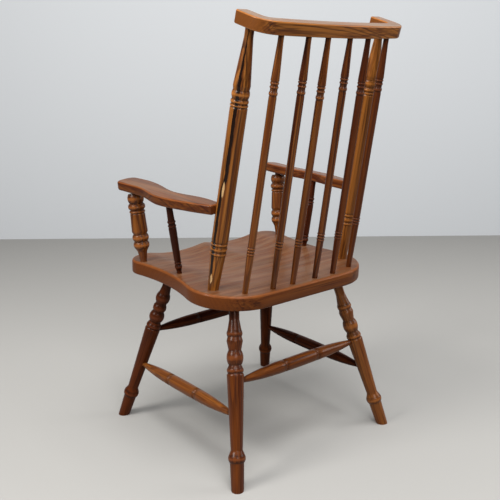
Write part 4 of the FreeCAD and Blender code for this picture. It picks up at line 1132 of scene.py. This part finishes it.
class CHAIR_OT_arm_turnings(bpy.types.Operator):
    """Turn the posts and spindles under the arms"""

    bl_idname = "chair.arm_turnings"
    bl_label = "Arm posts and spindles"

    def execute(self, context):
        paint = colours()
        brown = wood("arm_post_pine", paint.honey, paint.russet, contrast=0.6, gloss=0.40)
        red = wood("arm_spindle_pine", paint.red, paint.late, contrast=0.7, shine=0.04, coat=0.12)
        kinds = (
            # place on the seat, place on the arm, top diameter, length of the neck
            ("arm_post", ARM_POST, (228.8, -178.7), (238.0, -191.5), 17.0, 8.0, brown),
            ("arm_spindle", ARM_SPINDLE, (208.4, -47.3), (235.8, -43.1), 15.0, 14.0, red),
        )
        for kind, profile, low, high, end, neck, material in kinds:
            for name, side in SIDES:
                up = arm_turn(side).to_3x3() @ Z_AXIS
                start = height_on(SEAT_TOP, SEAT_UP, side * low[0], low[1])
                top = height_on(arm_base(side), up, side * high[0], high[1])
                length = (top - start).length
                outline = profile + [corner(end, length - neck), corner(end, length + ARM_TENON)]
                turned("%s_%s" % (kind, name), outline, start, top - start, material,
                       (0.05, 0.03 * side, side))
        return {"FINISHED"}


# Dowels

def grain_from_place(nodes):
    """For a piece kept from the frame: its place, turned so that Y is along the grain."""
    place = nodes.add("ShaderNodeTexCoord").outputs["Object"]
    mapping = nodes.add("ShaderNodeMapping", {"Vector": place,
                                              "Rotation": Euler((math.pi / 2, 0, 0))})
    return mapping.outputs["Vector"]


class CHAIR_OT_dowels(bpy.types.Operator):
    """Finish the dowels that hold the arms to the back posts"""

    bl_idname = "chair.dowels"
    bl_label = "Dowels"

    def execute(self, context):
        material = wood("dowel_pine", colours().gold, colours().amber, 0.004, 0.4,
                        source=grain_from_place)
        for name, side in SIDES:
            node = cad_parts["arm_dowel_" + name]
            for slot in node.material_slots:
                slot.material = material
        return {"FINISHED"}


# Stage

CAMERA_PLACE = Vector((1.12568, 1.34464, 0.92953))
CAMERA_YAW = 39.2872
CAMERA_PITCH = 14.4267
CAMERA_ROLL = -0.45996
FOCAL_PIXELS = 711.704
FRAME_PIXELS = 500
SENSOR_WIDTH = 36.0
WALL_DISTANCE = 3.9
WALL_HEIGHT = 5
STAGE_REACH = 9
SKY = (0.9, 0.95, 1, 1)
SKY_STRENGTH = 0.16
LAMP_TARGET = Vector((0, 0, 0.5))
LAMPS = (
    # name, place, size, power, tint
    ("window_light", (2.6, -0.4, 2.2), 1.3, 62, (1, 0.98, 0.95)),
    ("ceiling_light", (0.3, 0.6, 3.2), 2.2, 84, (1, 1, 1)),
    ("camera_side_light", (1.3, 2.9, 2.1), 1.8, 44, (1, 1, 1)),
    ("far_light", (-2.4, 1.6, 1.6), 1.4, 26, (1, 1, 1)),
)


def camera_turn():
    """Rolled, then pitched down from level, then turned round from the chair's back."""
    return (Matrix.Rotation(math.radians(180 - CAMERA_YAW), 4, "Z")
            @ lean_about_x(90 - CAMERA_PITCH)
            @ Matrix.Rotation(math.radians(CAMERA_ROLL), 4, "Z"))


def area_lamp(name, place, size, power, tint):
    """A round soft light that faces the chair."""
    lamp = bpy.data.lights.new(name, "AREA")
    lamp.shape = "DISK"
    lamp.size = size
    lamp.energy = power
    lamp.color = tint
    holder = bpy.data.objects.new(name, lamp)
    holder.matrix_world = placed(Vector(place), facing(Vector(place) - LAMP_TARGET))
    bpy.context.scene.collection.objects.link(holder)


def sheet(name, corners, material):
    """One flat face of the stage."""
    bm = bmesh.new()
    bmesh.ops.contextual_create(bm, geom=[bm.verts.new(place) for place in corners])
    bmesh.ops.recalc_face_normals(bm, faces=bm.faces)
    mesh = bpy.data.meshes.new(name)
    bm.to_mesh(mesh)
    bm.free()
    mesh.materials.append(material)
    thing = bpy.data.objects.new(name, mesh)
    bpy.context.scene.collection.objects.link(thing)


class CHAIR_OT_stage(bpy.types.Operator):
    """Set the floor, the wall, the lamps and the camera"""

    bl_idname = "chair.stage"
    bl_label = "Stage"

    def execute(self, context):
        paint = colours()
        scene = context.scene
        reach = STAGE_REACH
        sheet("floor", [(-reach, -reach, 0), (reach, -reach, 0), (reach, reach, 0),
                        (-reach, reach, 0)], plain("pale_floor", paint.floor, 0.7))
        yaw = math.radians(CAMERA_YAW)
        ahead = Vector((-math.sin(yaw), -math.cos(yaw), 0))
        aside = Vector((-math.cos(yaw), math.sin(yaw), 0)) * reach
        foot = Vector((CAMERA_PLACE.x, CAMERA_PLACE.y, 0)) + ahead * WALL_DISTANCE
        top = foot + Z_AXIS * WALL_HEIGHT
        sheet("wall", [foot - aside, foot + aside, top + aside, top - aside],
              plain("pale_wall", paint.wall, 0.9))
        world = bpy.data.worlds.new("studio")
        world.use_nodes = True
        sky = world.node_tree.nodes["Background"].inputs
        sky["Color"].default_value = SKY
        sky["Strength"].default_value = SKY_STRENGTH
        scene.world = world
        for lamp in LAMPS:
            area_lamp(*lamp)
        camera = bpy.data.objects.new("camera", bpy.data.cameras.new("camera"))
        camera.data.sensor_width = SENSOR_WIDTH
        camera.data.lens = FOCAL_PIXELS / FRAME_PIXELS * SENSOR_WIDTH
        camera.data.dof.use_dof = False
        camera.matrix_world = placed(CAMERA_PLACE, camera_turn())
        scene.collection.objects.link(camera)
        scene.camera = camera
        scene.view_settings.view_transform = "Standard"
        return {"FINISHED"}


class CHAIR_PT_pieces(bpy.types.Panel):
    bl_idname = "CHAIR_PT_pieces"
    bl_label = "Captains chair"
    bl_space_type = "VIEW_3D"
    bl_region_type = "UI"
    bl_category = "Chair"

    def draw(self, context):
        for settings in (context.scene.chair_shape, context.scene.chair_colours):
            for name in settings.__annotations__:
                self.layout.prop(settings, name)
        for operator in OPERATORS:
            self.layout.operator(operator.bl_idname)


OPERATORS = (CHAIR_OT_seat, CHAIR_OT_legs, CHAIR_OT_stretchers, CHAIR_OT_back_posts,
             CHAIR_OT_back_spindles, CHAIR_OT_crest_rail, CHAIR_OT_arms, CHAIR_OT_arm_turnings,
             CHAIR_OT_dowels, CHAIR_OT_stage)
CLASSES = (ChairShape, ChairColours, *OPERATORS, CHAIR_PT_pieces)


def register():
    for item in CLASSES:
        bpy.utils.register_class(item)
    bpy.types.Scene.chair_shape = bpy.props.PointerProperty(type=ChairShape)
    bpy.types.Scene.chair_colours = bpy.props.PointerProperty(type=ChairColours)


def unregister():
    del bpy.types.Scene.chair_colours
    del bpy.types.Scene.chair_shape
    for item in reversed(CLASSES):
        bpy.utils.unregister_class(item)


def main():
    register()
    bpy.ops.chair.seat()
    bpy.ops.chair.legs()
    bpy.ops.chair.stretchers()
    bpy.ops.chair.back_posts()
    bpy.ops.chair.back_spindles()
    bpy.ops.chair.crest_rail()
    bpy.ops.chair.arms()
    bpy.ops.chair.arm_turnings()
    bpy.ops.chair.dowels()
    bpy.ops.chair.stage()


if __name__ == "__main__":
    main()
